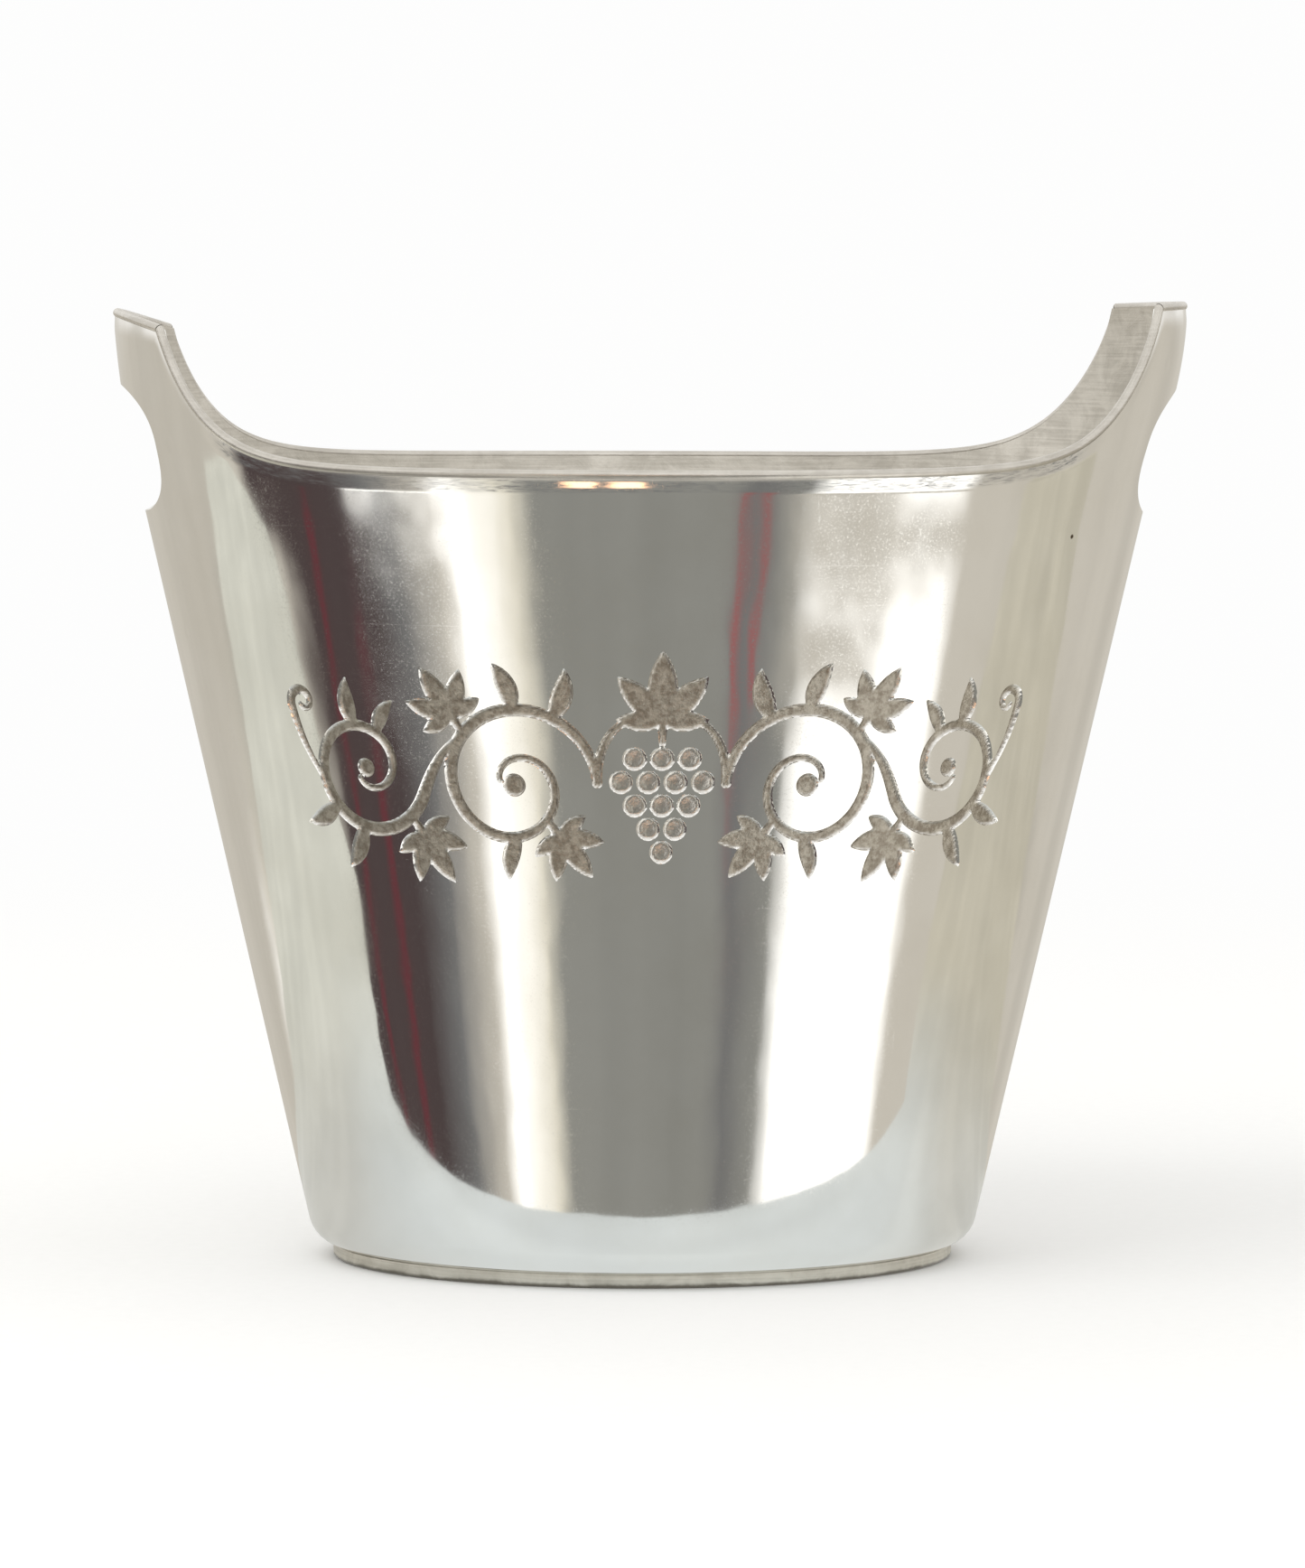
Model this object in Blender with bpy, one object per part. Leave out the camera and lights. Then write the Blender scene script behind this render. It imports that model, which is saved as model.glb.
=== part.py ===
"""Oval champagne bucket with two raised ears, a hand slot in each ear and an engraved vine on the front.

Units are metres, +Z is up, the front faces -Y and the ears stand at -X and +X.
The bucket rests on the foot ring at z = 0 and is centred on the Z axis.
"""

import math

import bmesh
import bpy
from mathutils import Vector

# ---- overall shape -------------------------------------------------------------------------------
FOOT_HALF_WIDTH = 0.0862        # outer half-width of the foot ring, along X
FOOT_HALF_DEPTH = 0.0668        # outer half-depth of the foot ring, along Y
FOOT_HEIGHT = 0.0036
FOOT_RING_WIDTH = 0.009
FOOT_EDGE_ROUND = 0.0007
JOINT_GAP = 0.0003              # clearance between two pieces that are soldered together

BASE_HALF_WIDTH = 0.0904        # half-width the straight wall would have at z = 0
TAPER = 0.2291                  # outward lean of the wall, per metre of height
PLAN_ASPECT = 0.811             # depth of the oval divided by its width
WALL_THICKNESS = 0.0023
CORNER_RADIUS = 0.009           # turned-in bottom corner of the wall, outside
LIP_WIDTH = 0.006               # flat lip inside the corner
FLOOR_THICKNESS = 0.0025
FLOOR_EDGE_CLEARANCE = 0.0012   # between the floor plate's edge and the inner corner

# ---- saddle-shaped rim ---------------------------------------------------------------------------
RIM_HEIGHT = 0.2213             # finished height at the middle of the front and back
SWEEP_RISE = 0.0432             # rise of the rim above that height at SWEEP_START
SWEEP_START = math.radians(23.6)  # plan angle from the ear's centre
SWEEP_DECAY = math.radians(7.5)  # plan angle over which the rise falls to 1/e
# The two hand-made ears differ a little: finished height at the middle, and how much lower the corners are
RIGHT_EAR = (0.2655, 0.0006)
LEFT_EAR = (0.2628, 0.0040)
# How the wall bends away from its taper at each ear: start height, outward per m squared, inward per m cubed
RIGHT_BEND = (0.205, 2.928, 55.6)
LEFT_BEND = (0.215, -1.75, 0.0)
WIRE_RADIUS = 0.00122           # rounded wire on the rim

# ---- hand slots ----------------------------------------------------------------------------------
SLOT_HALF_WIDTH = 0.0380
SLOT_WIDEST = 0.2255            # height at which the slot is widest
SLOT_RISE = 0.0165              # arched top, above the widest point
SLOT_DROP = 0.0182              # bottom, below the widest point
SLOT_TOP_POWER = 2.4            # 2 is an ellipse; more is squarer at the shoulders
SLOT_BOTTOM_POWER = 3.0
SLOT_INNER_REACH = 0.75         # where its cutter starts, as a share of the half-width
SLOT_OUTER_REACH = 0.02         # how far its cutter stands out of the wall
SLOT_POINTS = 44

# ---- engraved vine, measured on the unrolled front: across from its middle and up from its centre ---
VINE_HEIGHT = 0.1395            # height of the vine's centre above the table
GROOVE_DEPTH = 0.0010
CUTTER_STANDOUT = 0.0012        # how far the cutters stand out of the wall
STEM_HALF_WIDTH = 0.0023
FRONT_STEP = 0.0005             # spacing of the table of plan angles across the front
FRONT_REACH = 0.120             # how far that table reaches from the middle
# A scroll: centre across, centre up, outer radius, inner radius, start angle, turning angle in degrees
INNER_SCROLL = (0.0392, -0.0015, 0.0222, 0.0040, 178.0, -520.0)
OUTER_SCROLL = (0.0815, 0.0020, 0.0178, 0.0036, 205.0, 465.0)
SCROLL_EYES = (0.0031, 0.0026)  # round eyes in the middle of the two scrolls
SCROLL_POWER = 1.2              # how late a scroll tightens
SCROLL_SWELL = 0.36             # share of a scroll over which it swells to its full width
STEM_PULL = 0.42                # how strongly a stem keeps its heading at each end
BRANCH_ANGLE = 48.0             # where the branch to the outer scroll leaves the inner one
TENDRIL_ANGLE = 338.0           # where the end tendril leaves the outer scroll
TENDRIL_TOP = (0.1032, 0.0185)
TENDRIL_CURL = (0.0992, 0.0190, 0.0040, 0.0010, -5.0, 330.0)
# Half-widths along a stroke: at its start, at its widest and at its end, or just at its two ends
INNER_WIDTHS = (0.0013, STEM_HALF_WIDTH, 0.0008)
OUTER_WIDTHS = (0.0019, STEM_HALF_WIDTH, 0.0008)
CURL_WIDTHS = (0.0015, 0.0015, 0.0007)
CROWN_STEM_WIDTHS = (0.0009, 0.0014)
BRANCH_WIDTHS = (0.0008, 0.0019)
TENDRIL_WIDTHS = (0.0007, 0.0015)
LEAF_STALK_WIDTHS = (0.0009, 0.0016)
CROWN_STALK_WIDTHS = (0.0015, 0.0009)
# Headings of the stems in degrees, the branch's and tendril's starts relative to the scroll they leave
CROWN_STEM_HEADINGS = (10, -92)
BRANCH_TURN = -86
TENDRIL_TURN = 84
TENDRIL_END = 82
# A leaf on a scroll: angle on the scroll, lean, length, lobed or plain
INNER_LEAVES = (
    (121.0, -14.0, 0.0140, False),
    (92.0, -22.0, 0.0135, False),
    (46.0, 14.0, 0.0165, True),
    (-92.0, 20.0, 0.0125, False),
    (-132.0, 4.0, 0.0160, True),
)
OUTER_LEAVES = (
    (226.0, 12.0, 0.0170, True),
    (283.0, 16.0, 0.0135, False),
    (318.0, 16.0, 0.0130, False),
    (440.0, 6.0, 0.0130, False),
    (476.0, 6.0, 0.0110, False),
)
LEAF_BEND = 40.0
LEAF_FATNESS = 0.20             # half-width of a plain leaf divided by its length
LEAF_SHOULDER = 0.8             # below 1 a leaf is widest before its middle
LEAF_FULLNESS = 0.85            # below 1 a leaf is blunter
LEAF_TIP = 0.00015              # half-width at the tip
LOBE_FATNESS = 0.215
LOBE_SLIMNESS = 0.3             # how much broader the short lobes are
LOBE_CURL = -0.18               # bend of a lobe back towards the leaf's middle, as a share of its turn
LOBES = ((-92.0, 0.66), (-46.0, 0.88), (0.0, 1.0), (46.0, 0.88), (92.0, 0.66))  # turn, relative length
STALK_SHARE = 0.36              # stalk of a lobed leaf
LOBE_SHARE = 0.86
CROWN_HEIGHT = 0.0165           # lobed leaf over the bunch of grapes
CROWN_LENGTH = 0.0180
CROWN_STEM_START = 0.0030       # where the stems leave the crown leaf, across from the middle
CROWN_STALK_OVERLAP = 1.3       # top of the bunch, in grape radii above the first row's centres
GRAPE_ROWS = (3, 4, 3, 2, 1)
GRAPE_PITCH = 0.0072
GRAPE_RADIUS = 0.0032
BUNCH_TOP = 0.0058

# ---- mesh fineness -------------------------------------------------------------------------------
EAR_STEPS = 5                   # columns from the ear's centre to its corner
SWEEP_STEPS = 10                # columns down the curved side of the ear
FRONT_STEPS = 6                 # columns over the level part of the rim, to the middle of the front
SWEEP_END = math.radians(62)
CORNER_STEPS = 5
WALL_ROWS = (0.060, 0.100, 0.150, 0.200)
UPPER_ROWS = 3                  # rows between the last straight row and the rim
WIRE_SIDES = 8
OVAL_POINTS = 80
SCROLL_STATIONS = 24
STEM_STATIONS = 7
LEAF_STATIONS = 6
ROUND_SIDES = 8
MITRE_STEP = math.radians(0.3)  # plan angle over which a wire's direction is taken at a mitre
SWEEP_CROWDING = 1.5            # how much closer the columns stand beside the ear's corner


def half_width(height, angle=math.pi / 2):
    """Outer half-width of the oval at a height, with the bend of the ears at a plan angle."""
    start, square, cube = RIGHT_BEND if math.cos(angle) > 0 else LEFT_BEND
    above = max(0.0, height - start)
    bend = (square - cube * above) * above ** 2
    return BASE_HALF_WIDTH + TAPER * height + bend * math.cos(angle) ** 2


def wall_point(angle, height, inset=0.0):
    """Point of the oval at a plan angle measured from +X, moved inwards by inset."""
    width = half_width(height, angle)
    depth = width * PLAN_ASPECT
    return Vector(((width - inset) * math.cos(angle), (depth - inset) * math.sin(angle), height))


def from_ear(angle):
    """Plan angle to the nearer ear centre, between 0 and 90 degrees."""
    return abs(math.remainder(angle, math.pi))


def arc_rate(angle, height):
    """Metres along the wall per radian of plan angle."""
    width = half_width(height, angle)
    return math.hypot(width * math.sin(angle), width * PLAN_ASPECT * math.cos(angle))


def ear_top(angle):
    """Finished height of the ear's top edge, a little lower at its corners."""
    middle, corner_drop = RIGHT_EAR if math.cos(angle) > 0 else LEFT_EAR
    return middle - corner_drop * (from_ear(angle) / SWEEP_START) ** 2


def sweep_height(angle, drop):
    """Height of the curved side of the ear, lowered by drop at right angles to the edge."""
    rise = SWEEP_RISE * math.exp(-(from_ear(angle) - SWEEP_START) / SWEEP_DECAY)
    slope = rise / SWEEP_DECAY / arc_rate(angle, min(RIM_HEIGHT + rise, RIGHT_EAR[0]))
    return RIM_HEIGHT + rise - drop * math.hypot(1.0, slope)


def edge_height(angle, drop):
    """Height of the rim, lowered by drop at right angles to the edge."""
    if from_ear(angle) > SWEEP_END:
        return sweep_height(angle, drop)
    return min(ear_top(angle) - drop, sweep_height(angle, drop))


def corner_angle(drop, ear_angle):
    """Plan angle from the ear's centre at which the lowered side of that ear meets its lowered top."""
    low, high = 0.0, SWEEP_END
    for _ in range(50):
        middle = 0.5 * (low + high)
        if sweep_height(middle, drop) > ear_top(ear_angle + middle) - drop:
            low = middle
        else:
            high = middle
    return low


def quarter_angles(corner):
    """Plan angles from the ear's centre to the middle of the front, closer together beside the corner."""
    angles = [corner * step / EAR_STEPS for step in range(EAR_STEPS)]
    for step in range(SWEEP_STEPS):
        share = step / SWEEP_STEPS
        angles.append(corner + (SWEEP_END - corner) * share ** SWEEP_CROWDING)
    for step in range(FRONT_STEPS + 1):
        angles.append(SWEEP_END + (math.pi / 2 - SWEEP_END) * step / FRONT_STEPS)
    return angles


def half_ring(drop):
    """Plan angles of the columns from the right ear's centre over the back to the left ear's centre."""
    right = quarter_angles(corner_angle(drop, 0.0))
    left = quarter_angles(corner_angle(drop, math.pi))
    return right + [math.pi - angle for angle in left[-2::-1]]


def ring_angles(drop):
    """Plan angles of every column, once round; the front mirrors the back."""
    half = half_ring(drop)
    return half + [2 * math.pi - angle for angle in half[-2:0:-1]]


def clear_scene():
    for thing in list(bpy.data.objects):
        bpy.data.objects.remove(thing, do_unlink=True)


def add_object(name, mesh_builder):
    """Link a new object holding a closed mesh with outward faces."""
    bmesh.ops.recalc_face_normals(mesh_builder, faces=mesh_builder.faces)
    mesh = bpy.data.meshes.new(name)
    mesh_builder.to_mesh(mesh)
    mesh_builder.free()
    made = bpy.data.objects.new(name, mesh)
    bpy.context.collection.objects.link(made)
    return made


def give_material(made, name, colour, roughness):
    material = bpy.data.materials.new(name)
    material.use_nodes = True
    shader = material.node_tree.nodes["Principled BSDF"]
    shader.inputs["Base Color"].default_value = (*colour, 1.0)
    shader.inputs["Roughness"].default_value = roughness
    shader.inputs["Metallic"].default_value = 1.0
    made.data.materials.append(material)


def shade_smooth(made, crease_degrees):
    """Round surfaces shade smoothly, edges sharper than the crease stay crisp."""
    made.data.polygons.foreach_set("use_smooth", [True] * len(made.data.polygons))
    made.data.set_sharp_from_angle(angle=math.radians(crease_degrees))


def apply_modifiers(made):
    """Bake the modifier stack into the mesh."""
    evaluated = made.evaluated_get(bpy.context.evaluated_depsgraph_get())
    baked = bpy.data.meshes.new_from_object(evaluated)
    made.modifiers.clear()
    made.data = baked


def bridge(builder, lower, upper):
    """Join two closed rings of vertices with a band of quads."""
    count = len(lower)
    for step in range(count):
        after = (step + 1) % count
        builder.faces.new((lower[step], lower[after], upper[after], upper[step]))


def cut(target, cutter, crossing=False):
    """Subtract the cutter from the target; crossing tells that parts of the cutter overlap."""
    cutter.hide_render = True
    cutter.display_type = "WIRE"
    boolean = target.modifiers.new("cut", "BOOLEAN")
    boolean.operation = "DIFFERENCE"
    boolean.solver = "EXACT"
    boolean.object = cutter
    boolean.use_self = crossing
    apply_modifiers(target)
    bpy.data.objects.remove(cutter, do_unlink=True)


# ---- bucket wall ---------------------------------------------------------------------------------
def corner_centre():
    """Height and half-width of the centre of the rounded bottom corner."""
    lip_underside = FOOT_HEIGHT + JOINT_GAP
    lean = math.atan(TAPER)
    centre_height = lip_underside + CORNER_RADIUS
    tangent_height = centre_height - CORNER_RADIUS * math.sin(lean)
    centre_width = half_width(tangent_height) - CORNER_RADIUS * math.cos(lean)
    return centre_height, centre_width, lean


def corner_rows(depth):
    """Heights and insets of the lip and the rounded corner, at a depth inside the wall's outer face."""
    centre_height, centre_width, lean = corner_centre()
    radius = CORNER_RADIUS - depth
    level = centre_height - radius
    rows = [(level, half_width(level) - centre_width + LIP_WIDTH)]
    for step in range(CORNER_STEPS + 1):
        turned = math.radians(90) + (lean - math.radians(90)) * step / CORNER_STEPS
        height = centre_height - radius * math.sin(turned)
        width = centre_width + radius * math.cos(turned)
        rows.append((height, half_width(height) - width))
    return rows


def face_rings(builder, angles, depth):
    """Rings of one face of the wall, from the lip's inner edge up to the cut edge under the rim wire."""
    wire_room = 2 * WIRE_RADIUS + JOINT_GAP
    inset = depth / math.cos(math.atan(TAPER))
    rows = corner_rows(depth) + [(height, inset) for height in WALL_ROWS]
    rings = [[builder.verts.new(wall_point(angle, *row)) for angle in angles] for row in rows]
    for row in range(1, UPPER_ROWS + 1):
        ring = []
        for angle in angles:
            height = WALL_ROWS[-1] + (edge_height(angle, wire_room) - WALL_ROWS[-1]) * row / UPPER_ROWS
            ring.append(builder.verts.new(wall_point(angle, height, inset)))
        rings.append(ring)
    return rings


def make_wall():
    """Wall with the ears: an outer and an inner face joined along the cut edge and around the lip."""
    angles = ring_angles(2 * WIRE_RADIUS + JOINT_GAP)
    builder = bmesh.new()
    outer = face_rings(builder, angles, 0.0)
    inner = face_rings(builder, angles, WALL_THICKNESS)
    loop = outer + inner[::-1]
    for lower, upper in zip(loop, loop[1:] + loop[:1]):
        bridge(builder, lower, upper)
    return add_object("bucket_wall", builder)


def make_slot_cutter(side):
    """Hand slot: an arched opening with a flat, round-cornered bottom, cut straight through one ear."""
    inner = side * half_width(RIM_HEIGHT) * SLOT_INNER_REACH
    outer = side * (half_width(RIGHT_EAR[0]) + SLOT_OUTER_REACH)
    builder = bmesh.new()
    near = []
    far = []
    for step in range(SLOT_POINTS):
        turned = 2 * math.pi * (step + 0.5) / SLOT_POINTS
        across, up = math.cos(turned), math.sin(turned)
        power, reach = (SLOT_TOP_POWER, SLOT_RISE) if up > 0 else (SLOT_BOTTOM_POWER, SLOT_DROP)
        y = SLOT_HALF_WIDTH * math.copysign(abs(across) ** (2.0 / power), across)
        z = SLOT_WIDEST + reach * math.copysign(abs(up) ** (2.0 / power), up)
        near.append(builder.verts.new((inner, y, z)))
        far.append(builder.verts.new((outer, y, z)))
    bridge(builder, near, far)
    builder.faces.new(near)
    builder.faces.new(far)
    return add_object("slot_cutter", builder)


# ---- engraved vine -------------------------------------------------------------------------------
def polar(centre, radius, degrees):
    turned = math.radians(degrees)
    return centre[0] + radius * math.cos(turned), centre[1] + radius * math.sin(turned)


def scroll_point(scroll, degrees):
    """Point of a scroll at an angle, its radius shrinking from the outer to the inner one."""
    share = (degrees - scroll[4]) / scroll[5]
    return polar(scroll, scroll[2] + (scroll[3] - scroll[2]) * share ** SCROLL_POWER, degrees)


def scroll_stroke(scroll, stations, half_widths):
    """Path and half-widths of a scroll that swells after its start and thins towards its eye."""
    start_width, widest, end_width = half_widths
    path, widths = [], []
    for step in range(stations):
        share = step / (stations - 1)
        path.append(scroll_point(scroll, scroll[4] + scroll[5] * share))
        swell = math.sin(math.pi * min(1.0, share / SCROLL_SWELL) / 2)
        widths.append((start_width + (widest - start_width) * swell) * (1 - share) + end_width * share)
    return path, widths


def stem_stroke(start, headings, end, half_widths):
    """Path and half-widths of a stem, a cubic curve with a heading at each end."""
    pull = STEM_PULL * math.dist(start, end)
    corners = (start, polar(start, pull, headings[0]), polar(end, -pull, headings[1]), end)
    path, widths = [], []
    for step in range(STEM_STATIONS):
        share = step / (STEM_STATIONS - 1)
        rest = 1 - share
        weights = (rest ** 3, 3 * rest ** 2 * share, 3 * rest * share ** 2, share ** 3)
        path.append(tuple(sum(w * c[axis] for w, c in zip(weights, corners)) for axis in (0, 1)))
        widths.append(half_widths[0] * rest + half_widths[1] * share)
    return path, widths


def leaf_stroke(base, heading, length, bend, fatness):
    """Path and half-widths of a pointed leaf that bends along its length."""
    path, widths = [base], []
    for step in range(LEAF_STATIONS):
        share = step / (LEAF_STATIONS - 1)
        belly = math.sin(math.pi * share ** LEAF_SHOULDER) ** LEAF_FULLNESS if 0 < share < 1 else 0.0
        widths.append(max(LEAF_TIP, length * fatness * belly))
        if step:
            path.append(polar(path[-1], length / (LEAF_STATIONS - 1), heading + bend * (share - 0.5)))
    return path, widths


def lobed_leaf(base, heading, length):
    """Five pointed lobes spread from one base."""
    strokes = []
    for turn, size in LOBES:
        fatness = LOBE_FATNESS / size ** LOBE_SLIMNESS
        strokes.append(leaf_stroke(base, heading + turn, length * size, LOBE_CURL * turn, fatness))
    return strokes


def scroll_leaves(scroll, leaves):
    """Leaves that grow outwards from a scroll."""
    strokes = []
    for degrees, lean, length, lobed in leaves:
        root = scroll_point(scroll, degrees)
        if lobed:
            base = polar(root, length * STALK_SHARE, degrees + lean)
            strokes.append(((root, base), LEAF_STALK_WIDTHS))
            strokes += lobed_leaf(base, degrees + lean, length * LOBE_SHARE)
        else:
            bend = math.copysign(LEAF_BEND, scroll[5])
            strokes.append(leaf_stroke(root, degrees + lean, length, bend, LEAF_FATNESS))
    return strokes


def side_strokes():
    """Strokes on one side of the bunch; the other side mirrors them."""
    crown = (CROWN_STEM_START, CROWN_HEIGHT)
    inner_start = polar(INNER_SCROLL, INNER_SCROLL[2], INNER_SCROLL[4])
    outer_start = polar(OUTER_SCROLL, OUTER_SCROLL[2], OUTER_SCROLL[4])
    fork = scroll_point(INNER_SCROLL, BRANCH_ANGLE)
    leaving = scroll_point(OUTER_SCROLL, TENDRIL_ANGLE)
    strokes = [
        scroll_stroke(INNER_SCROLL, SCROLL_STATIONS, INNER_WIDTHS),
        scroll_stroke(OUTER_SCROLL, SCROLL_STATIONS, OUTER_WIDTHS),
        scroll_stroke(TENDRIL_CURL, STEM_STATIONS, CURL_WIDTHS),
        stem_stroke(crown, CROWN_STEM_HEADINGS, inner_start, CROWN_STEM_WIDTHS),
        stem_stroke(fork, (BRANCH_ANGLE + BRANCH_TURN, OUTER_SCROLL[4] + 90), outer_start, BRANCH_WIDTHS),
        stem_stroke(leaving, (TENDRIL_ANGLE + TENDRIL_TURN, TENDRIL_END), TENDRIL_TOP, TENDRIL_WIDTHS),
    ]
    return strokes + scroll_leaves(INNER_SCROLL, INNER_LEAVES) + scroll_leaves(OUTER_SCROLL, OUTER_LEAVES)


def crown_strokes():
    """Lobed leaf over the bunch and its stalk."""
    foot = (0.0, BUNCH_TOP + CROWN_STALK_OVERLAP * GRAPE_RADIUS)
    stalk = (((0.0, CROWN_HEIGHT), foot), CROWN_STALK_WIDTHS)
    return lobed_leaf((0.0, CROWN_HEIGHT), 90.0, CROWN_LENGTH) + [stalk]


def grape_centres():
    """Centres of the grapes, row by row."""
    centres = []
    for row, count in enumerate(GRAPE_ROWS):
        for place in range(count):
            across = (place - (count - 1) / 2) * GRAPE_PITCH
            centres.append((across, BUNCH_TOP - row * GRAPE_PITCH * math.cos(math.radians(30))))
    return centres


def front_angles():
    """Plan angle at every FRONT_STEP across the unrolled front, at the vine's height."""
    angle = 1.5 * math.pi
    angles = []
    for _ in range(round(FRONT_REACH / FRONT_STEP)):
        angles.append(angle)
        half_turn = 0.5 * FRONT_STEP / arc_rate(angle, VINE_HEIGHT)
        angle += FRONT_STEP / arc_rate(angle + half_turn, VINE_HEIGHT)
    return angles


def front_point(across, up, lift, angles):
    """Point over the front of the wall, lifted off its outer face."""
    place = abs(across) / FRONT_STEP
    low = int(place)
    angle = angles[low] + (angles[low + 1] - angles[low]) * (place - low)
    if across < 0:
        angle = 3 * math.pi - angle
    return wall_point(angle, VINE_HEIGHT + up, -lift)


def groove(builder, lift_point, path, widths, mirror):
    """Closed cutter along a stroke: two sides, a floor in the wall and a top outside it."""
    section = ((1, -GROOVE_DEPTH), (1, CUTTER_STANDOUT), (-1, CUTTER_STANDOUT), (-1, -GROOVE_DEPTH))
    rings = []
    for step, (across, up) in enumerate(path):
        before = path[max(step - 1, 0)]
        after = path[min(step + 1, len(path) - 1)]
        length = math.dist(before, after)
        side = (-(after[1] - before[1]) / length, (after[0] - before[0]) / length)
        ring = []
        for sign, lift in section:
            edge_across = across + sign * side[0] * widths[step]
            edge_up = up + sign * side[1] * widths[step]
            ring.append(builder.verts.new(lift_point(mirror * edge_across, edge_up, lift)))
        rings.append(ring)
    for first, second in zip(rings, rings[1:]):
        bridge(builder, first, second)
    builder.faces.new(rings[0])
    builder.faces.new(rings[-1])


def round_groove(builder, lift_point, centre, radius):
    """Closed cutter for a grape or a scroll's eye."""
    floor, top = [], []
    for step in range(ROUND_SIDES):
        across, up = polar(centre, radius, 360.0 * (step + 0.5) / ROUND_SIDES)
        floor.append(builder.verts.new(lift_point(across, up, -GROOVE_DEPTH)))
        top.append(builder.verts.new(lift_point(across, up, CUTTER_STANDOUT)))
    bridge(builder, floor, top)
    builder.faces.new(floor)
    builder.faces.new(top)


def make_vine_cutter():
    """All grooves of the vine as one cutter, its strokes crossing each other where they join."""
    angles = front_angles()

    def lift_point(across, up, lift):
        return front_point(across, up, lift, angles)

    builder = bmesh.new()
    for path, widths in side_strokes():
        groove(builder, lift_point, path, widths, 1)
        groove(builder, lift_point, path, widths, -1)
    for path, widths in crown_strokes():
        groove(builder, lift_point, path, widths, 1)
    for centre in grape_centres():
        round_groove(builder, lift_point, centre, GRAPE_RADIUS)
    for scroll, radius in zip((INNER_SCROLL, OUTER_SCROLL), SCROLL_EYES):
        for mirror in (-1, 1):
            round_groove(builder, lift_point, (mirror * scroll[0], scroll[1]), radius)
    return add_object("vine_cutter", builder)


# ---- rim wires -----------------------------------------------------------------------------------
def wire_centre(angle):
    """Centre line of the rim wire, over the middle of the wall's thickness."""
    return wall_point(angle, edge_height(angle, WIRE_RADIUS), WALL_THICKNESS / 2)


def slide_to_plane(spot, along, plane):
    """Move a point along the wire until it lies in the mitre plane."""
    origin, normal = plane
    return spot + along * ((origin - spot).dot(normal) / along.dot(normal))


def mitre(corner, into):
    """Plane half a joint gap from the ear corner; into is the sign with which the plan angle runs into the wire."""
    here = wire_centre(corner)
    inwards = (wire_centre(corner + into * MITRE_STEP) - here).normalized()
    backwards = (wire_centre(corner - into * MITRE_STEP) - here).normalized()
    normal = (inwards - backwards).normalized()
    return here + normal * JOINT_GAP / 2, normal


def wire_section(path, step):
    """Direction of the wire and the two axes of its round section at one point of its path."""
    before = path[max(step - 1, 0)]
    after = path[min(step + 1, len(path) - 1)]
    along = (after - before).normalized()
    centre = path[step]
    outward = Vector((centre.x, centre.y / PLAN_ASPECT ** 2, 0.0))
    outward = (outward - along * outward.dot(along)).normalized()
    return along, outward, along.cross(outward)


def make_wire(name, angles):
    """Round wire swept along the rim between two ear corners and mitred at both ends."""
    path = [wire_centre(angle) for angle in angles]
    planes = {0: mitre(angles[0], 1), len(path) - 1: mitre(angles[-1], -1)}
    builder = bmesh.new()
    rings = []
    for step, centre in enumerate(path):
        along, outward, upward = wire_section(path, step)
        ring = []
        for side in range(WIRE_SIDES):
            turned = 2 * math.pi * (side + 0.5) / WIRE_SIDES
            spot = centre + (outward * math.cos(turned) + upward * math.sin(turned)) * WIRE_RADIUS
            if step in planes:
                spot = slide_to_plane(spot, along, planes[step])
            ring.append(builder.verts.new(spot))
        rings.append(ring)
    for first, second in zip(rings, rings[1:]):
        bridge(builder, first, second)
    builder.faces.new(rings[0])
    builder.faces.new(rings[-1])
    wire = add_object(name, builder)
    shade_smooth(wire, 50)
    return wire


def make_wires():
    """Four lengths: along the front, along the back and over the top of each ear."""
    right = corner_angle(WIRE_RADIUS, 0.0)
    left = corner_angle(WIRE_RADIUS, math.pi)
    back_run = [angle for angle in half_ring(WIRE_RADIUS) if right <= angle <= math.pi - left + 1e-9]
    front_run = [2 * math.pi - angle for angle in reversed(back_run)]
    right_run = [right * step / EAR_STEPS for step in range(-EAR_STEPS, EAR_STEPS + 1)]
    left_run = [math.pi + left * step / EAR_STEPS for step in range(-EAR_STEPS, EAR_STEPS + 1)]
    runs = {
        "rim_wire_back": back_run,
        "rim_wire_front": front_run,
        "ear_wire_right": right_run,
        "ear_wire_left": left_run,
    }
    return [make_wire(name, angles) for name, angles in runs.items()]


# ---- floor and foot ------------------------------------------------------------------------------
def oval_ring(builder, width, depth, height):
    """One closed oval of vertices."""
    turns = [2 * math.pi * step / OVAL_POINTS for step in range(OVAL_POINTS)]
    return [builder.verts.new((width * math.cos(turn), depth * math.sin(turn), height)) for turn in turns]


def make_floor():
    """Oval plate let in on the wall's lip."""
    centre_height, centre_width, _ = corner_centre()
    bottom = FOOT_HEIGHT + JOINT_GAP + WALL_THICKNESS + JOINT_GAP
    inner_radius = CORNER_RADIUS - WALL_THICKNESS
    reach = math.sqrt(inner_radius ** 2 - (centre_height - bottom) ** 2)
    width = centre_width + reach - FLOOR_EDGE_CLEARANCE
    depth = width - half_width(0.0) * (1 - PLAN_ASPECT)
    builder = bmesh.new()
    lower = oval_ring(builder, width, depth, bottom)
    upper = oval_ring(builder, width, depth, bottom + FLOOR_THICKNESS)
    bridge(builder, lower, upper)
    builder.faces.new(lower)
    builder.faces.new(upper)
    floor = add_object("floor_plate", builder)
    shade_smooth(floor, 40)
    return floor


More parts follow.
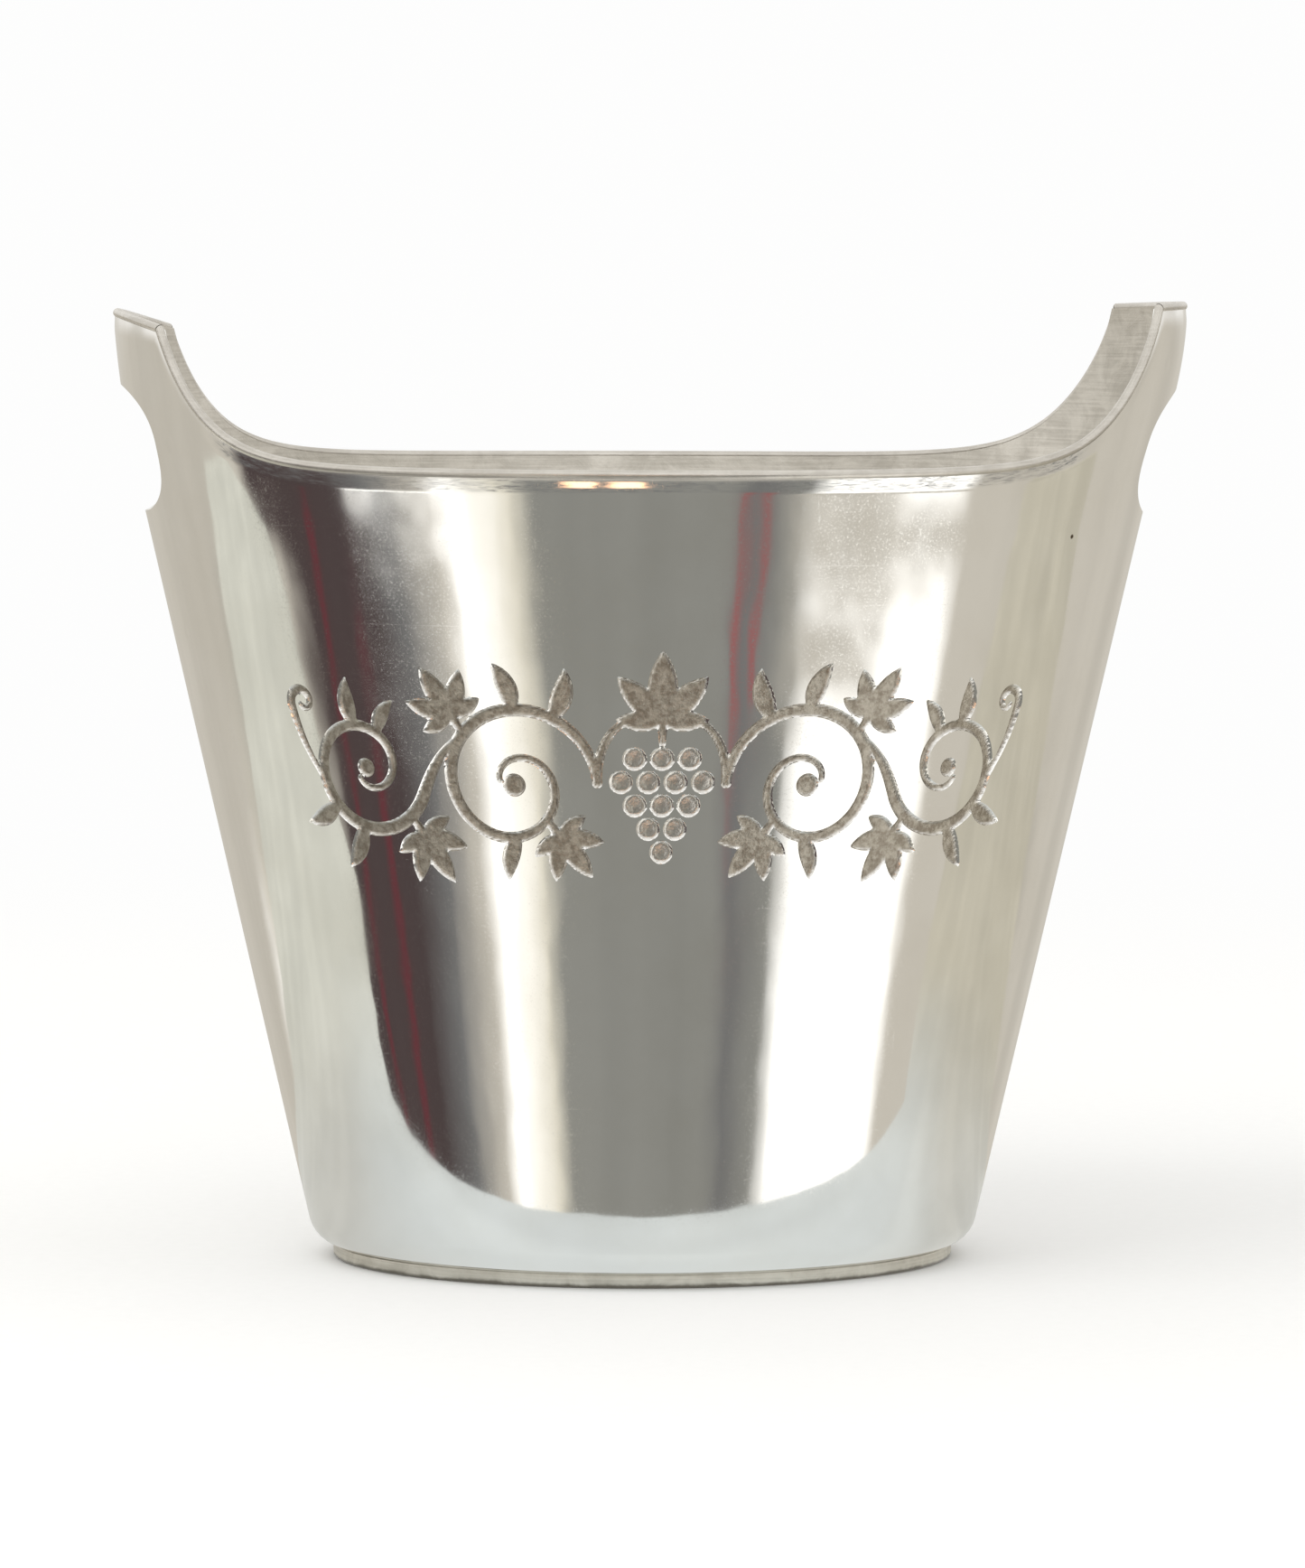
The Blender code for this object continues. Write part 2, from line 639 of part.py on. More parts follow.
def make_foot():
    """Low oval band under the lip, its lower outer edge rounded."""
    depth_loss = FOOT_HALF_WIDTH - FOOT_HALF_DEPTH
    inner = FOOT_HALF_WIDTH - FOOT_RING_WIDTH
    profile = [(inner, 0.0), (FOOT_HALF_WIDTH - FOOT_EDGE_ROUND, 0.0), (FOOT_HALF_WIDTH, FOOT_EDGE_ROUND)]
    profile += [(FOOT_HALF_WIDTH, FOOT_HEIGHT), (inner, FOOT_HEIGHT)]
    builder = bmesh.new()
    rings = [oval_ring(builder, width, width - depth_loss, height) for width, height in profile]
    for first, second in zip(rings, rings[1:] + rings[:1]):
        bridge(builder, first, second)
    foot = add_object("foot_ring", builder)
    shade_smooth(foot, 40)
    return foot


# ---- main ----------------------------------------------------------------------------------------
def main():
    clear_scene()
    wall = make_wall()
    for side in (-1, 1):
        cut(wall, make_slot_cutter(side))
    cut(wall, make_vine_cutter(), crossing=True)
    shade_smooth(wall, 40)
    give_material(wall, "polished_silver", (0.86, 0.85, 0.83), 0.12)
    for wire in make_wires():
        give_material(wire, wire.name + "_silver", (0.90, 0.89, 0.86), 0.10)
    give_material(make_floor(), "brushed_floor", (0.66, 0.64, 0.60), 0.45)
    give_material(make_foot(), "foot_silver", (0.74, 0.72, 0.68), 0.30)


main()
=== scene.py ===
import math

import bpy
import numpy as np
from mathutils import Matrix, Vector


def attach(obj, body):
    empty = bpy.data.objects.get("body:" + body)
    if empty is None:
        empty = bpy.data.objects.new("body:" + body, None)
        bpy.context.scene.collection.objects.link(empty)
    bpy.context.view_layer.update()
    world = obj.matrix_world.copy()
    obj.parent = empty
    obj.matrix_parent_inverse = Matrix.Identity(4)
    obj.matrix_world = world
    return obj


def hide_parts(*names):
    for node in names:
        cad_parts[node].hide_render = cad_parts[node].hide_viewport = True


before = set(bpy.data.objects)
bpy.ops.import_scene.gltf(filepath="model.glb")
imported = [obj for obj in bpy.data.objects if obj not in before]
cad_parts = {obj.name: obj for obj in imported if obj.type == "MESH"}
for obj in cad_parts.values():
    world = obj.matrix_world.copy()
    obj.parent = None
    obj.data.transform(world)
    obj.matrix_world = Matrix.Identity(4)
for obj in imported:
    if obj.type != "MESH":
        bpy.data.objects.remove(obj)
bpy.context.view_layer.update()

# ---- shape of the bucket, in metres: +Z up, front towards -Y, ears at -X and +X --------------------
FOOT_HALF_WIDTH = 0.0862
FOOT_HALF_DEPTH = 0.0668
FOOT_HEIGHT = 0.0036
FOOT_RING_WIDTH = 0.009
FOOT_BOTTOM_ROUND = 0.0013
FOOT_TOP_ROUND = 0.0005
JOINT_GAP = 0.0003
BASE_HALF_WIDTH = 0.0904
TAPER = 0.2291
PLAN_ASPECT = 0.811
WALL_THICKNESS = 0.0023
CORNER_RADIUS = 0.009
LIP_WIDTH = 0.006
FLOOR_THICKNESS = 0.0025
FLOOR_EDGE_CLEARANCE = 0.0012
RIM_HEIGHT = 0.2213
SWEEP_RISE = 0.0432
SWEEP_START = math.radians(23.6)
SWEEP_DECAY = math.radians(7.5)
SWEEP_END = math.radians(62)
RIGHT_EAR = (0.2655, 0.0006)
LEFT_EAR = (0.2628, 0.0040)
RIGHT_BEND = (0.205, 2.928, 55.6)
LEFT_BEND = (0.215, -1.75, 0.0)
WIRE_RADIUS = 0.00122
SLOT_HALF_WIDTH = 0.0380
SLOT_WIDEST = 0.2255
SLOT_RISE = 0.0165
SLOT_DROP = 0.0182
SLOT_TOP_POWER = 2.4
SLOT_BOTTOM_POWER = 3.0
WALL_DROP = 1.2 * WIRE_RADIUS   # the wall runs up into the wire, as it does when soldered
RIM_ROLL_REACH = 0.0042         # height below the wire over which the outer face rolls inwards
RIM_ROLL = 22.0                 # inwards, per metre squared

# ---- engraved vine, on the unrolled front: across from its middle and up from its centre ------------
VINE_HEIGHT = 0.1395
GROOVE_DEPTH = 0.0010
GROOVE_BEVEL = 0.0006
GRAPE_DOME = 0.55               # how far a grape swells back up, as a share of the groove's depth
STEM_HALF_WIDTH = 0.0023
INNER_SCROLL = (0.0392, -0.0015, 0.0222, 0.0040, 178.0, -520.0)
OUTER_SCROLL = (0.0815, 0.0020, 0.0178, 0.0036, 205.0, 465.0)
SCROLL_EYES = (0.0031, 0.0026)
SCROLL_POWER = 1.2
SCROLL_SWELL = 0.36
STEM_PULL = 0.42
BRANCH_ANGLE = 48.0
TENDRIL_ANGLE = 338.0
TENDRIL_TOP = (0.1032, 0.0185)
TENDRIL_CURL = (0.0992, 0.0190, 0.0040, 0.0010, -5.0, 330.0)
INNER_WIDTHS = (0.0013, STEM_HALF_WIDTH, 0.0008)
OUTER_WIDTHS = (0.0019, STEM_HALF_WIDTH, 0.0008)
CURL_WIDTHS = (0.0015, 0.0015, 0.0007)
CROWN_STEM_WIDTHS = (0.0009, 0.0014)
BRANCH_WIDTHS = (0.0008, 0.0019)
TENDRIL_WIDTHS = (0.0007, 0.0015)
LEAF_STALK_WIDTHS = (0.0009, 0.0016)
CROWN_STALK_WIDTHS = (0.0015, 0.0009)
CROWN_STEM_HEADINGS = (10, -92)
BRANCH_TURN = -86
TENDRIL_TURN = 84
TENDRIL_END = 82
INNER_LEAVES = (
    (121.0, -14.0, 0.0140, False),
    (92.0, -22.0, 0.0135, False),
    (46.0, 14.0, 0.0165, True),
    (-92.0, 20.0, 0.0125, False),
    (-132.0, 4.0, 0.0160, True),
)
OUTER_LEAVES = (
    (226.0, 12.0, 0.0170, True),
    (283.0, 16.0, 0.0135, False),
    (318.0, 16.0, 0.0130, False),
    (440.0, 6.0, 0.0130, False),
    (476.0, 6.0, 0.0110, False),
)
LEAF_BEND = 40.0
LEAF_FATNESS = 0.20
LEAF_SHOULDER = 0.8
LEAF_FULLNESS = 0.85
LEAF_TIP = 0.00015
LOBE_FATNESS = 0.215
LOBE_SLIMNESS = 0.3
LOBE_CURL = -0.18
LOBES = ((-92.0, 0.66), (-46.0, 0.88), (0.0, 1.0), (46.0, 0.88), (92.0, 0.66))
STALK_SHARE = 0.36
LOBE_SHARE = 0.86
CROWN_HEIGHT = 0.0165
CROWN_LENGTH = 0.0180
CROWN_STEM_START = 0.0030
CROWN_STALK_OVERLAP = 1.3
GRAPE_ROWS = (3, 4, 3, 2, 1)
GRAPE_PITCH = 0.0072
GRAPE_RADIUS = 0.0032
BUNCH_TOP = 0.0058

# ---- mesh fineness ---------------------------------------------------------------------------------
FINE_STEP = 0.00055             # grid of the engraved part of the front
FINE_COLUMNS = 388
FINE_ROWS = 120
FINE_BOTTOM = VINE_HEIGHT - 0.0305
FINE_TOP = VINE_HEIGHT + 0.0371
FINE_REACH = FINE_STEP * FINE_COLUMNS / 2
COLUMN_GROUP = 4                # fine columns to one plain column
ROW_GROUP = 15                  # fine rows to one plain row
PLAIN_ROWS = FINE_ROWS // ROW_GROUP
LOWER_ROWS = 8
UPPER_ROWS = 3
EAR_ZONE = 0.200                # above this height the rows follow the rim
EAR_ROWS = 35
EAR_COLUMNS = 60
CORNER_STEPS = 7
FLANK_STEP = 0.0022
BACK_STEP = 0.0032
SCROLL_STATIONS = 72
STEM_STATIONS = 21
LEAF_STATIONS = 16
FRONT_TABLE = 4001
FRONT_REACH = math.radians(80)
UPPER_WIDENING = 1.4            # half-width of the oval high up, in base half-widths
SLOT_POINTS = 1440
SLOT_NEAR = (0.05, 3.0)         # levels of the slot's formula between which vertices may snap to it
SNAP_SHARE = 0.505              # how far a vertex may snap, as a share of a row
SNAP_LEAST = 0.0016
STROKE_MARGIN = 0.003
FAR = 0.05                      # stands for no stroke nearby
LEAST_SLOPE = 0.3
MATTE_START = 0.0002            # from the groove's outline inwards
MATTE_FADE = 0.0004
GRAPE_SHINE = 0.4
SMALL = 1e-5
TINY = 1e-20
WIRE_SIDES = 20
WIRE_STEP = math.radians(0.6)
MITRE_STEP = math.radians(0.3)
OVAL_POINTS = 192
WIRE_CREASE = 50
OVAL_CREASE = 40
FLOOR_EDGE_ROUND = 0.0006
FLOOR_MIDDLE = (0.0008, 0.0006)
FLOOR_RINGS = (0.9, 0.7, 0.5, 0.3, 0.12)


# ---- surfaces --------------------------------------------------------------------------------------
def half_width(height, angle):
    """Outer half-width of the oval at a height, with the bend of the ears at a plan angle."""
    right = np.cos(angle) > 0
    start, square, cube = (np.where(right, r, l) for r, l in zip(RIGHT_BEND, LEFT_BEND))
    above = np.maximum(0.0, height - start)
    bend = (square - cube * above) * above ** 2
    return BASE_HALF_WIDTH + TAPER * height + bend * np.cos(angle) ** 2


def wall_point(angle, height, inset):
    """Points of the oval at plan angles measured from +X, moved inwards by inset."""
    width = half_width(height, angle)
    across = (width - inset) * np.cos(angle)
    deep = (width * PLAN_ASPECT - inset) * np.sin(angle)
    return np.stack(np.broadcast_arrays(across, deep, height), -1)


def unit(vectors):
    return vectors / np.linalg.norm(vectors, axis=-1, keepdims=True)


def wall_normal(angle, height):
    """Outward normals of the wall."""
    turn = wall_point(angle + SMALL, height, 0.0) - wall_point(angle - SMALL, height, 0.0)
    rise = wall_point(angle, height + SMALL, 0.0) - wall_point(angle, height - SMALL, 0.0)
    return unit(np.cross(turn, rise))


def from_ear(angle):
    return np.abs(np.mod(angle + math.pi / 2, math.pi) - math.pi / 2)


def sweep_height(angle, drop):
    """Height of the curved side of an ear, lowered by drop at right angles to the edge."""
    rise = SWEEP_RISE * np.exp(-(from_ear(angle) - SWEEP_START) / SWEEP_DECAY)
    width = half_width(np.minimum(RIM_HEIGHT + rise, RIGHT_EAR[0]), angle)
    arc_rate = np.hypot(width * np.sin(angle), width * PLAN_ASPECT * np.cos(angle))
    return RIM_HEIGHT + rise - drop * np.hypot(1.0, rise / SWEEP_DECAY / arc_rate)


def top_height(angle, drop):
    """Height of the ear's top edge, lowered by drop."""
    middle, corner_drop = (np.where(np.cos(angle) > 0, r, l) for r, l in zip(RIGHT_EAR, LEFT_EAR))
    return middle - corner_drop * (from_ear(angle) / SWEEP_START) ** 2 - drop


def edge_height(angle, drop):
    """Height of the rim, lowered by drop at right angles to the edge."""
    side = sweep_height(angle, drop)
    return np.where(from_ear(angle) > SWEEP_END, side, np.minimum(top_height(angle, drop), side))


def corner_angle(drop, ear_angle):
    """Plan angle from an ear's centre to its corner."""
    low, high = 0.0, SWEEP_END
    for _ in range(50):
        middle = 0.5 * (low + high)
        if sweep_height(ear_angle + middle, drop) > top_height(ear_angle + middle, drop):
            low = middle
        else:
            high = middle
    return low


def corner_centre():
    """Height and half-width at the centre of the rounded bottom corner."""
    lean = math.atan(TAPER)
    height = FOOT_HEIGHT + JOINT_GAP + CORNER_RADIUS
    tangent_height = height - CORNER_RADIUS * math.sin(lean)
    return height, BASE_HALF_WIDTH + TAPER * tangent_height - CORNER_RADIUS * math.cos(lean)


def corner_rows(depth):
    """Heights, insets and leans of the lip and the rounded bottom corner, at a depth in the wall."""
    lean = math.atan(TAPER)
    centre_height, centre_width = corner_centre()
    radius = CORNER_RADIUS - depth
    level = centre_height - radius
    rows = [(level, BASE_HALF_WIDTH + TAPER * level - centre_width + LIP_WIDTH, math.radians(90))]
    for step in range(CORNER_STEPS + 1):
        turned = math.radians(90) + (lean - math.radians(90)) * step / CORNER_STEPS
        height = centre_height - radius * math.sin(turned)
        width = centre_width + radius * math.cos(turned)
        rows.append((height, BASE_HALF_WIDTH + TAPER * height - width, turned))
    return rows


# ---- engraved vine ---------------------------------------------------------------------------------
def polar(centre, radius, degrees):
    turned = math.radians(degrees)
    return centre[0] + radius * math.cos(turned), centre[1] + radius * math.sin(turned)


def scroll_point(scroll, degrees):
    share = (degrees - scroll[4]) / scroll[5]
    return polar(scroll, scroll[2] + (scroll[3] - scroll[2]) * share ** SCROLL_POWER, degrees)


def scroll_stroke(scroll, stations, half_widths):
    """Path and half-widths of a scroll that swells after its start and thins towards its eye."""
    start_width, widest, end_width = half_widths
    path, widths = [], []
    for step in range(stations):
        share = step / (stations - 1)
        path.append(scroll_point(scroll, scroll[4] + scroll[5] * share))
        swell = math.sin(math.pi * min(1.0, share / SCROLL_SWELL) / 2)
        widths.append((start_width + (widest - start_width) * swell) * (1 - share) + end_width * share)
    return path, widths


def stem_stroke(start, headings, end, half_widths):
    """Path and half-widths of a stem, a cubic curve with a heading at each end."""
    pull = STEM_PULL * math.dist(start, end)
    corners = (start, polar(start, pull, headings[0]), polar(end, -pull, headings[1]), end)
    path, widths = [], []
    for step in range(STEM_STATIONS):
        share = step / (STEM_STATIONS - 1)
        rest = 1 - share
        weights = (rest ** 3, 3 * rest ** 2 * share, 3 * rest * share ** 2, share ** 3)
        path.append(tuple(sum(w * c[axis] for w, c in zip(weights, corners)) for axis in (0, 1)))
        widths.append(half_widths[0] * rest + half_widths[1] * share)
    return path, widths


def leaf_stroke(base, heading, length, bend, fatness):
    """Path and half-widths of a pointed leaf that bends along its length."""
    path, widths = [base], []
    for step in range(LEAF_STATIONS):
        share = step / (LEAF_STATIONS - 1)
        belly = math.sin(math.pi * share ** LEAF_SHOULDER) ** LEAF_FULLNESS if 0 < share < 1 else 0.0
        widths.append(max(LEAF_TIP, length * fatness * belly))
        if step:
            path.append(polar(path[-1], length / (LEAF_STATIONS - 1), heading + bend * (share - 0.5)))
    return path, widths


def lobed_leaf(base, heading, length):
    """Five pointed lobes spread from one base."""
    strokes = []
    for turn, size in LOBES:
        fatness = LOBE_FATNESS / size ** LOBE_SLIMNESS
        strokes.append(leaf_stroke(base, heading + turn, length * size, LOBE_CURL * turn, fatness))
    return strokes


def scroll_leaves(scroll, leaves):
    """Leaves that grow outwards from a scroll."""
    strokes = []
    for degrees, lean, length, lobed in leaves:
        root = scroll_point(scroll, degrees)
        if lobed:
            base = polar(root, length * STALK_SHARE, degrees + lean)
            strokes.append(((root, base), LEAF_STALK_WIDTHS))
            strokes += lobed_leaf(base, degrees + lean, length * LOBE_SHARE)
        else:
            bend = math.copysign(LEAF_BEND, scroll[5])
            strokes.append(leaf_stroke(root, degrees + lean, length, bend, LEAF_FATNESS))
    return strokes


def dot_stroke(centre, radius):
    return (centre, (centre[0] + SMALL, centre[1])), (radius, radius)


def side_strokes():
    """Strokes on one side of the bunch; the other side mirrors them."""
    crown = (CROWN_STEM_START, CROWN_HEIGHT)
    inner_start = polar(INNER_SCROLL, INNER_SCROLL[2], INNER_SCROLL[4])
    outer_start = polar(OUTER_SCROLL, OUTER_SCROLL[2], OUTER_SCROLL[4])
    fork = scroll_point(INNER_SCROLL, BRANCH_ANGLE)
    leaving = scroll_point(OUTER_SCROLL, TENDRIL_ANGLE)
    strokes = [
        scroll_stroke(INNER_SCROLL, SCROLL_STATIONS, INNER_WIDTHS),
        scroll_stroke(OUTER_SCROLL, SCROLL_STATIONS, OUTER_WIDTHS),
        scroll_stroke(TENDRIL_CURL, STEM_STATIONS, CURL_WIDTHS),
        stem_stroke(crown, CROWN_STEM_HEADINGS, inner_start, CROWN_STEM_WIDTHS),
        stem_stroke(fork, (BRANCH_ANGLE + BRANCH_TURN, OUTER_SCROLL[4] + 90), outer_start, BRANCH_WIDTHS),
        stem_stroke(leaving, (TENDRIL_ANGLE + TENDRIL_TURN, TENDRIL_END), TENDRIL_TOP, TENDRIL_WIDTHS),
    ]
    strokes += [dot_stroke(s[:2], radius) for s, radius in zip((INNER_SCROLL, OUTER_SCROLL), SCROLL_EYES)]
    return strokes + scroll_leaves(INNER_SCROLL, INNER_LEAVES) + scroll_leaves(OUTER_SCROLL, OUTER_LEAVES)


def crown_strokes():
    """Lobed leaf over the bunch and its stalk."""
    foot = (0.0, BUNCH_TOP + CROWN_STALK_OVERLAP * GRAPE_RADIUS)
    stalk = (((0.0, CROWN_HEIGHT), foot), CROWN_STALK_WIDTHS)
    return lobed_leaf((0.0, CROWN_HEIGHT), 90.0, CROWN_LENGTH) + [stalk]


def grape_centres():
    centres = []
    for row, count in enumerate(GRAPE_ROWS):
        for place in range(count):
            across = (place - (count - 1) / 2) * GRAPE_PITCH
            centres.append((across, BUNCH_TOP - row * GRAPE_PITCH * math.cos(math.radians(30))))
    return centres


def stroke_distance(across, up, strokes):
    """Distance to the nearest stroke's outline, negative inside it."""
    nearest = np.full(across.shape, FAR)
    for path, widths in strokes:
        path, widths = np.array(path, float), np.array(widths, float)
        low = path.min(0) - widths.max() - STROKE_MARGIN
        high = path.max(0) + widths.max() + STROKE_MARGIN
        near = (across > low[0]) & (across < high[0]) & (up > low[1]) & (up < high[1])
        if not near.any():
            continue
        x, y = across[near], up[near]
        best = np.full(x.shape, FAR)
        for first, second, start, end in zip(path[:-1], path[1:], widths[:-1], widths[1:]):
            along = second - first
            share = ((x - first[0]) * along[0] + (y - first[1]) * along[1]) / (along @ along)
            share = np.clip(share, 0, 1)
            off = np.hypot(x - first[0] - share * along[0], y - first[1] - share * along[1])
            best = np.minimum(best, off - (start + (end - start) * share))
        nearest[near] = np.minimum(nearest[near], best)
    return nearest


def vine_distance(across, up):
    """Distance to the vine's outline, and to the nearest grape's centre in grape radii."""
    sides = stroke_distance(np.abs(across), up, side_strokes())
    middle = stroke_distance(across, up, crown_strokes())
    grape = np.full(across.shape, 1.0)
    for centre in grape_centres():
        grape = np.minimum(grape, np.hypot(across - centre[0], up - centre[1]))
    return np.minimum(np.minimum(sides, middle), grape - GRAPE_RADIUS), grape / GRAPE_RADIUS


def front_angle(across):
    """Plan angle of a point on the unrolled front, at the vine's height."""
    angles = np.linspace(0, FRONT_REACH, FRONT_TABLE)
    middle = 0.5 * (angles[1:] + angles[:-1]) + 1.5 * math.pi
    width = half_width(np.full(middle.shape, VINE_HEIGHT), middle)
    pieces = np.hypot(width * np.sin(middle), width * PLAN_ASPECT * np.cos(middle)) * np.diff(angles)
    arc = np.concatenate([[0.0], np.cumsum(pieces)])
    return 1.5 * math.pi + np.sign(across) * np.interp(np.abs(across), arc, angles)


# ---- wall ------------------------------------------------------------------------------------------
SMOOTH_OUT, GROOVE, SMOOTH_IN, EDGE = range(4)


def cell(row, column, columns):
    """Rows and columns of a grid cell's corners, on a grid that closes on itself."""
    after = (column + 1) % columns
    return [(row, column), (row, after), (row + 1, after), (row + 1, column)]


class WallMesh:
    """Collects vertices, faces and the side that each face belongs to."""

    def __init__(self):
        self.points = []
        self.normals = []
        self.grooves = []
        self.count = 0
        self.faces = []
        self.groups = []

    def add(self, points, normals, groove=None):
        """Adds a block of vertices and returns their numbers in the block's shape."""
        shape = points.shape[:-1]
        size = int(np.prod(shape))
        self.points.append(points.reshape(-1, 3))
        self.normals.append(normals.reshape(-1, 3))
        self.grooves.append(np.zeros(size) if groove is None else groove.ravel())
        numbers = np.arange(self.count, self.count + size).reshape(shape)
        self.count += size
        return numbers

    def face(self, corners, group):
        self.faces.append([int(c) for c in corners])
        self.groups.append(group)


def plan_columns():
    """Plan angles of the plain columns, once round from the left end of the engraved part."""
    fine = front_angle(np.linspace(-FINE_REACH, FINE_REACH, FINE_COLUMNS + 1))
    right, left = corner_angle(WALL_DROP, 0.0), corner_angle(WALL_DROP, math.pi)
    full = 2 * math.pi
    stops = [
        (fine[-1], full - right, FLANK_STEP, None),
        (full - right, full + right, None, EAR_COLUMNS),
        (full + right, 1.5 * full - left, BACK_STEP, None),
        (1.5 * full - left, 1.5 * full + left, None, EAR_COLUMNS),
        (1.5 * full + left, fine[0] + full, FLANK_STEP, None),
    ]
    angles = list(fine[::COLUMN_GROUP])
    ears = [False] * len(angles)
    for start, end, step, count in stops:
        count = count or math.ceil((end - start) * BASE_HALF_WIDTH * UPPER_WIDENING / step)
        ear = step is None
        for place in range(1, count + 1):
            angles.append(start + (end - start) * place / count)
            ears.append(ear)
        if ear:
            ears[-count - 1] = True
    return np.array(angles[:-1]), np.array(ears[:-1])


def slot_outline():
    """Closed line round the hand slot: across and up."""
    turned = np.linspace(0, 2 * math.pi, SLOT_POINTS + 1)[:-1]
    power = np.where(np.sin(turned) > 0, SLOT_TOP_POWER, SLOT_BOTTOM_POWER)
    reach = np.where(np.sin(turned) > 0, SLOT_RISE, SLOT_DROP)
    across = np.sign(np.cos(turned)) * np.abs(np.cos(turned)) ** (2 / power) * SLOT_HALF_WIDTH
    up = np.sign(np.sin(turned)) * np.abs(np.sin(turned)) ** (2 / power) * reach + SLOT_WIDEST
    return across, up


def fit_to_slot(deep, height, reach_of_snap):
    """Moves vertices near the slot's outline onto it. Returns -1 in the slot, 0 on it and 1 outside."""
    across, up = slot_outline()
    upper = height > SLOT_WIDEST
    power = np.where(upper, SLOT_TOP_POWER, SLOT_BOTTOM_POWER)
    reach = np.where(upper, SLOT_RISE, SLOT_DROP)
    level = np.abs(deep / SLOT_HALF_WIDTH) ** power + np.abs((height - SLOT_WIDEST) / reach) ** power
    state = np.where(level < 1, -1, 1)
    near = (level < SLOT_NEAR[1]) & (level > SLOT_NEAR[0])
    offs = np.hypot(deep[near][:, None] - across, height[near][:, None] - up)
    closest = offs.argmin(1)
    snapped = offs.min(1) < reach_of_snap[near]
    rows, columns = np.nonzero(near)
    rows, columns, closest = rows[snapped], columns[snapped], closest[snapped]
    deep[rows, columns] = across[closest]
    height[rows, columns] = up[closest]
    state[rows, columns] = 0
    return state


def ear_points(side, deep, height, inset):
    """Points of an ear given by depth and height, and their plan angles."""
    angle = np.zeros(deep.shape)
    for _ in range(4):
        plan = angle if side > 0 else math.pi - angle
        angle = np.arcsin(np.clip(deep / (half_width(height, plan) * PLAN_ASPECT - inset), -1, 1))
    plan = angle if side > 0 else math.pi - angle
    return wall_point(plan, height, inset), plan


def roll_rim(points, normals, height, top):
    """Rolls the outer face inwards just under the rim."""
    above = np.clip(height - (top - RIM_ROLL_REACH), 0.0, RIM_ROLL_REACH)
    tilted = normals + np.array([0.0, 0.0, 1.0]) * (2 * RIM_ROLL * above)[..., None]
    return points - normals * (RIM_ROLL * above ** 2)[..., None], unit(tilted)


def plain_side(mesh, angles, ears, depth, outward):
    """Plain grid of one face of the wall. Returns the vertex numbers and each one's slot state."""
    inset = depth / math.cos(math.atan(TAPER))
    points, normals = [], []
    for height, row_inset, turned in corner_rows(depth):
        points.append(wall_point(angles, np.full(angles.shape, height), row_inset))
        level = wall_normal(angles, np.full(angles.shape, height)) * [1, 1, 0]
        normals.append(unit(unit(level) * math.cos(turned) - np.array([0, 0, math.sin(turned)])))
    start = corner_rows(depth)[-1][0]
    levels = list(start + (FINE_BOTTOM - start) * np.arange(1, LOWER_ROWS + 1) / LOWER_ROWS)
    levels += list(FINE_BOTTOM + (FINE_TOP - FINE_BOTTOM) * np.arange(1, PLAIN_ROWS + 1) / PLAIN_ROWS)
    levels += list(FINE_TOP + (EAR_ZONE - FINE_TOP) * np.arange(1, UPPER_ROWS + 1) / UPPER_ROWS)
    for level in levels:
        height = np.full(angles.shape, level)
        points.append(wall_point(angles, height, inset))
        normals.append(wall_normal(angles, height))
    top = edge_height(angles, WALL_DROP)
    wire_under = edge_height(angles, 2 * WIRE_RADIUS)
    share = (np.arange(1, EAR_ROWS + 1) / EAR_ROWS)[:, None]
    height = EAR_ZONE + (top - EAR_ZONE) * share
    plan = np.broadcast_to(angles, height.shape).copy()
    upper = wall_point(plan, height, inset)
    state = np.ones(height.shape, int)
    for side in (1, -1):
        columns = ears & (np.cos(angles) * side > 0)
        deep = (half_width(height, plan) * PLAN_ASPECT * np.sin(plan))[:, columns]
        up = height[:, columns].copy()
        row_heights = np.maximum((top[columns] - EAR_ZONE) / EAR_ROWS, SNAP_LEAST)
        state[:, columns] = fit_to_slot(deep, up, np.broadcast_to(SNAP_SHARE * row_heights, up.shape))
        upper[:, columns], plan[:, columns] = ear_points(side, deep, up, inset)
        height[:, columns] = up
    lean = wall_normal(plan, height)
    if outward:
        upper, lean = roll_rim(upper, lean, height, wire_under)
    numbers = mesh.add(
        np.concatenate([np.array(points), upper]),
        np.concatenate([np.array(normals), lean]) * (1 if outward else -1),
    )
    rows = len(points)
    return numbers, np.concatenate([np.ones((rows, len(angles)), int), state]), rows


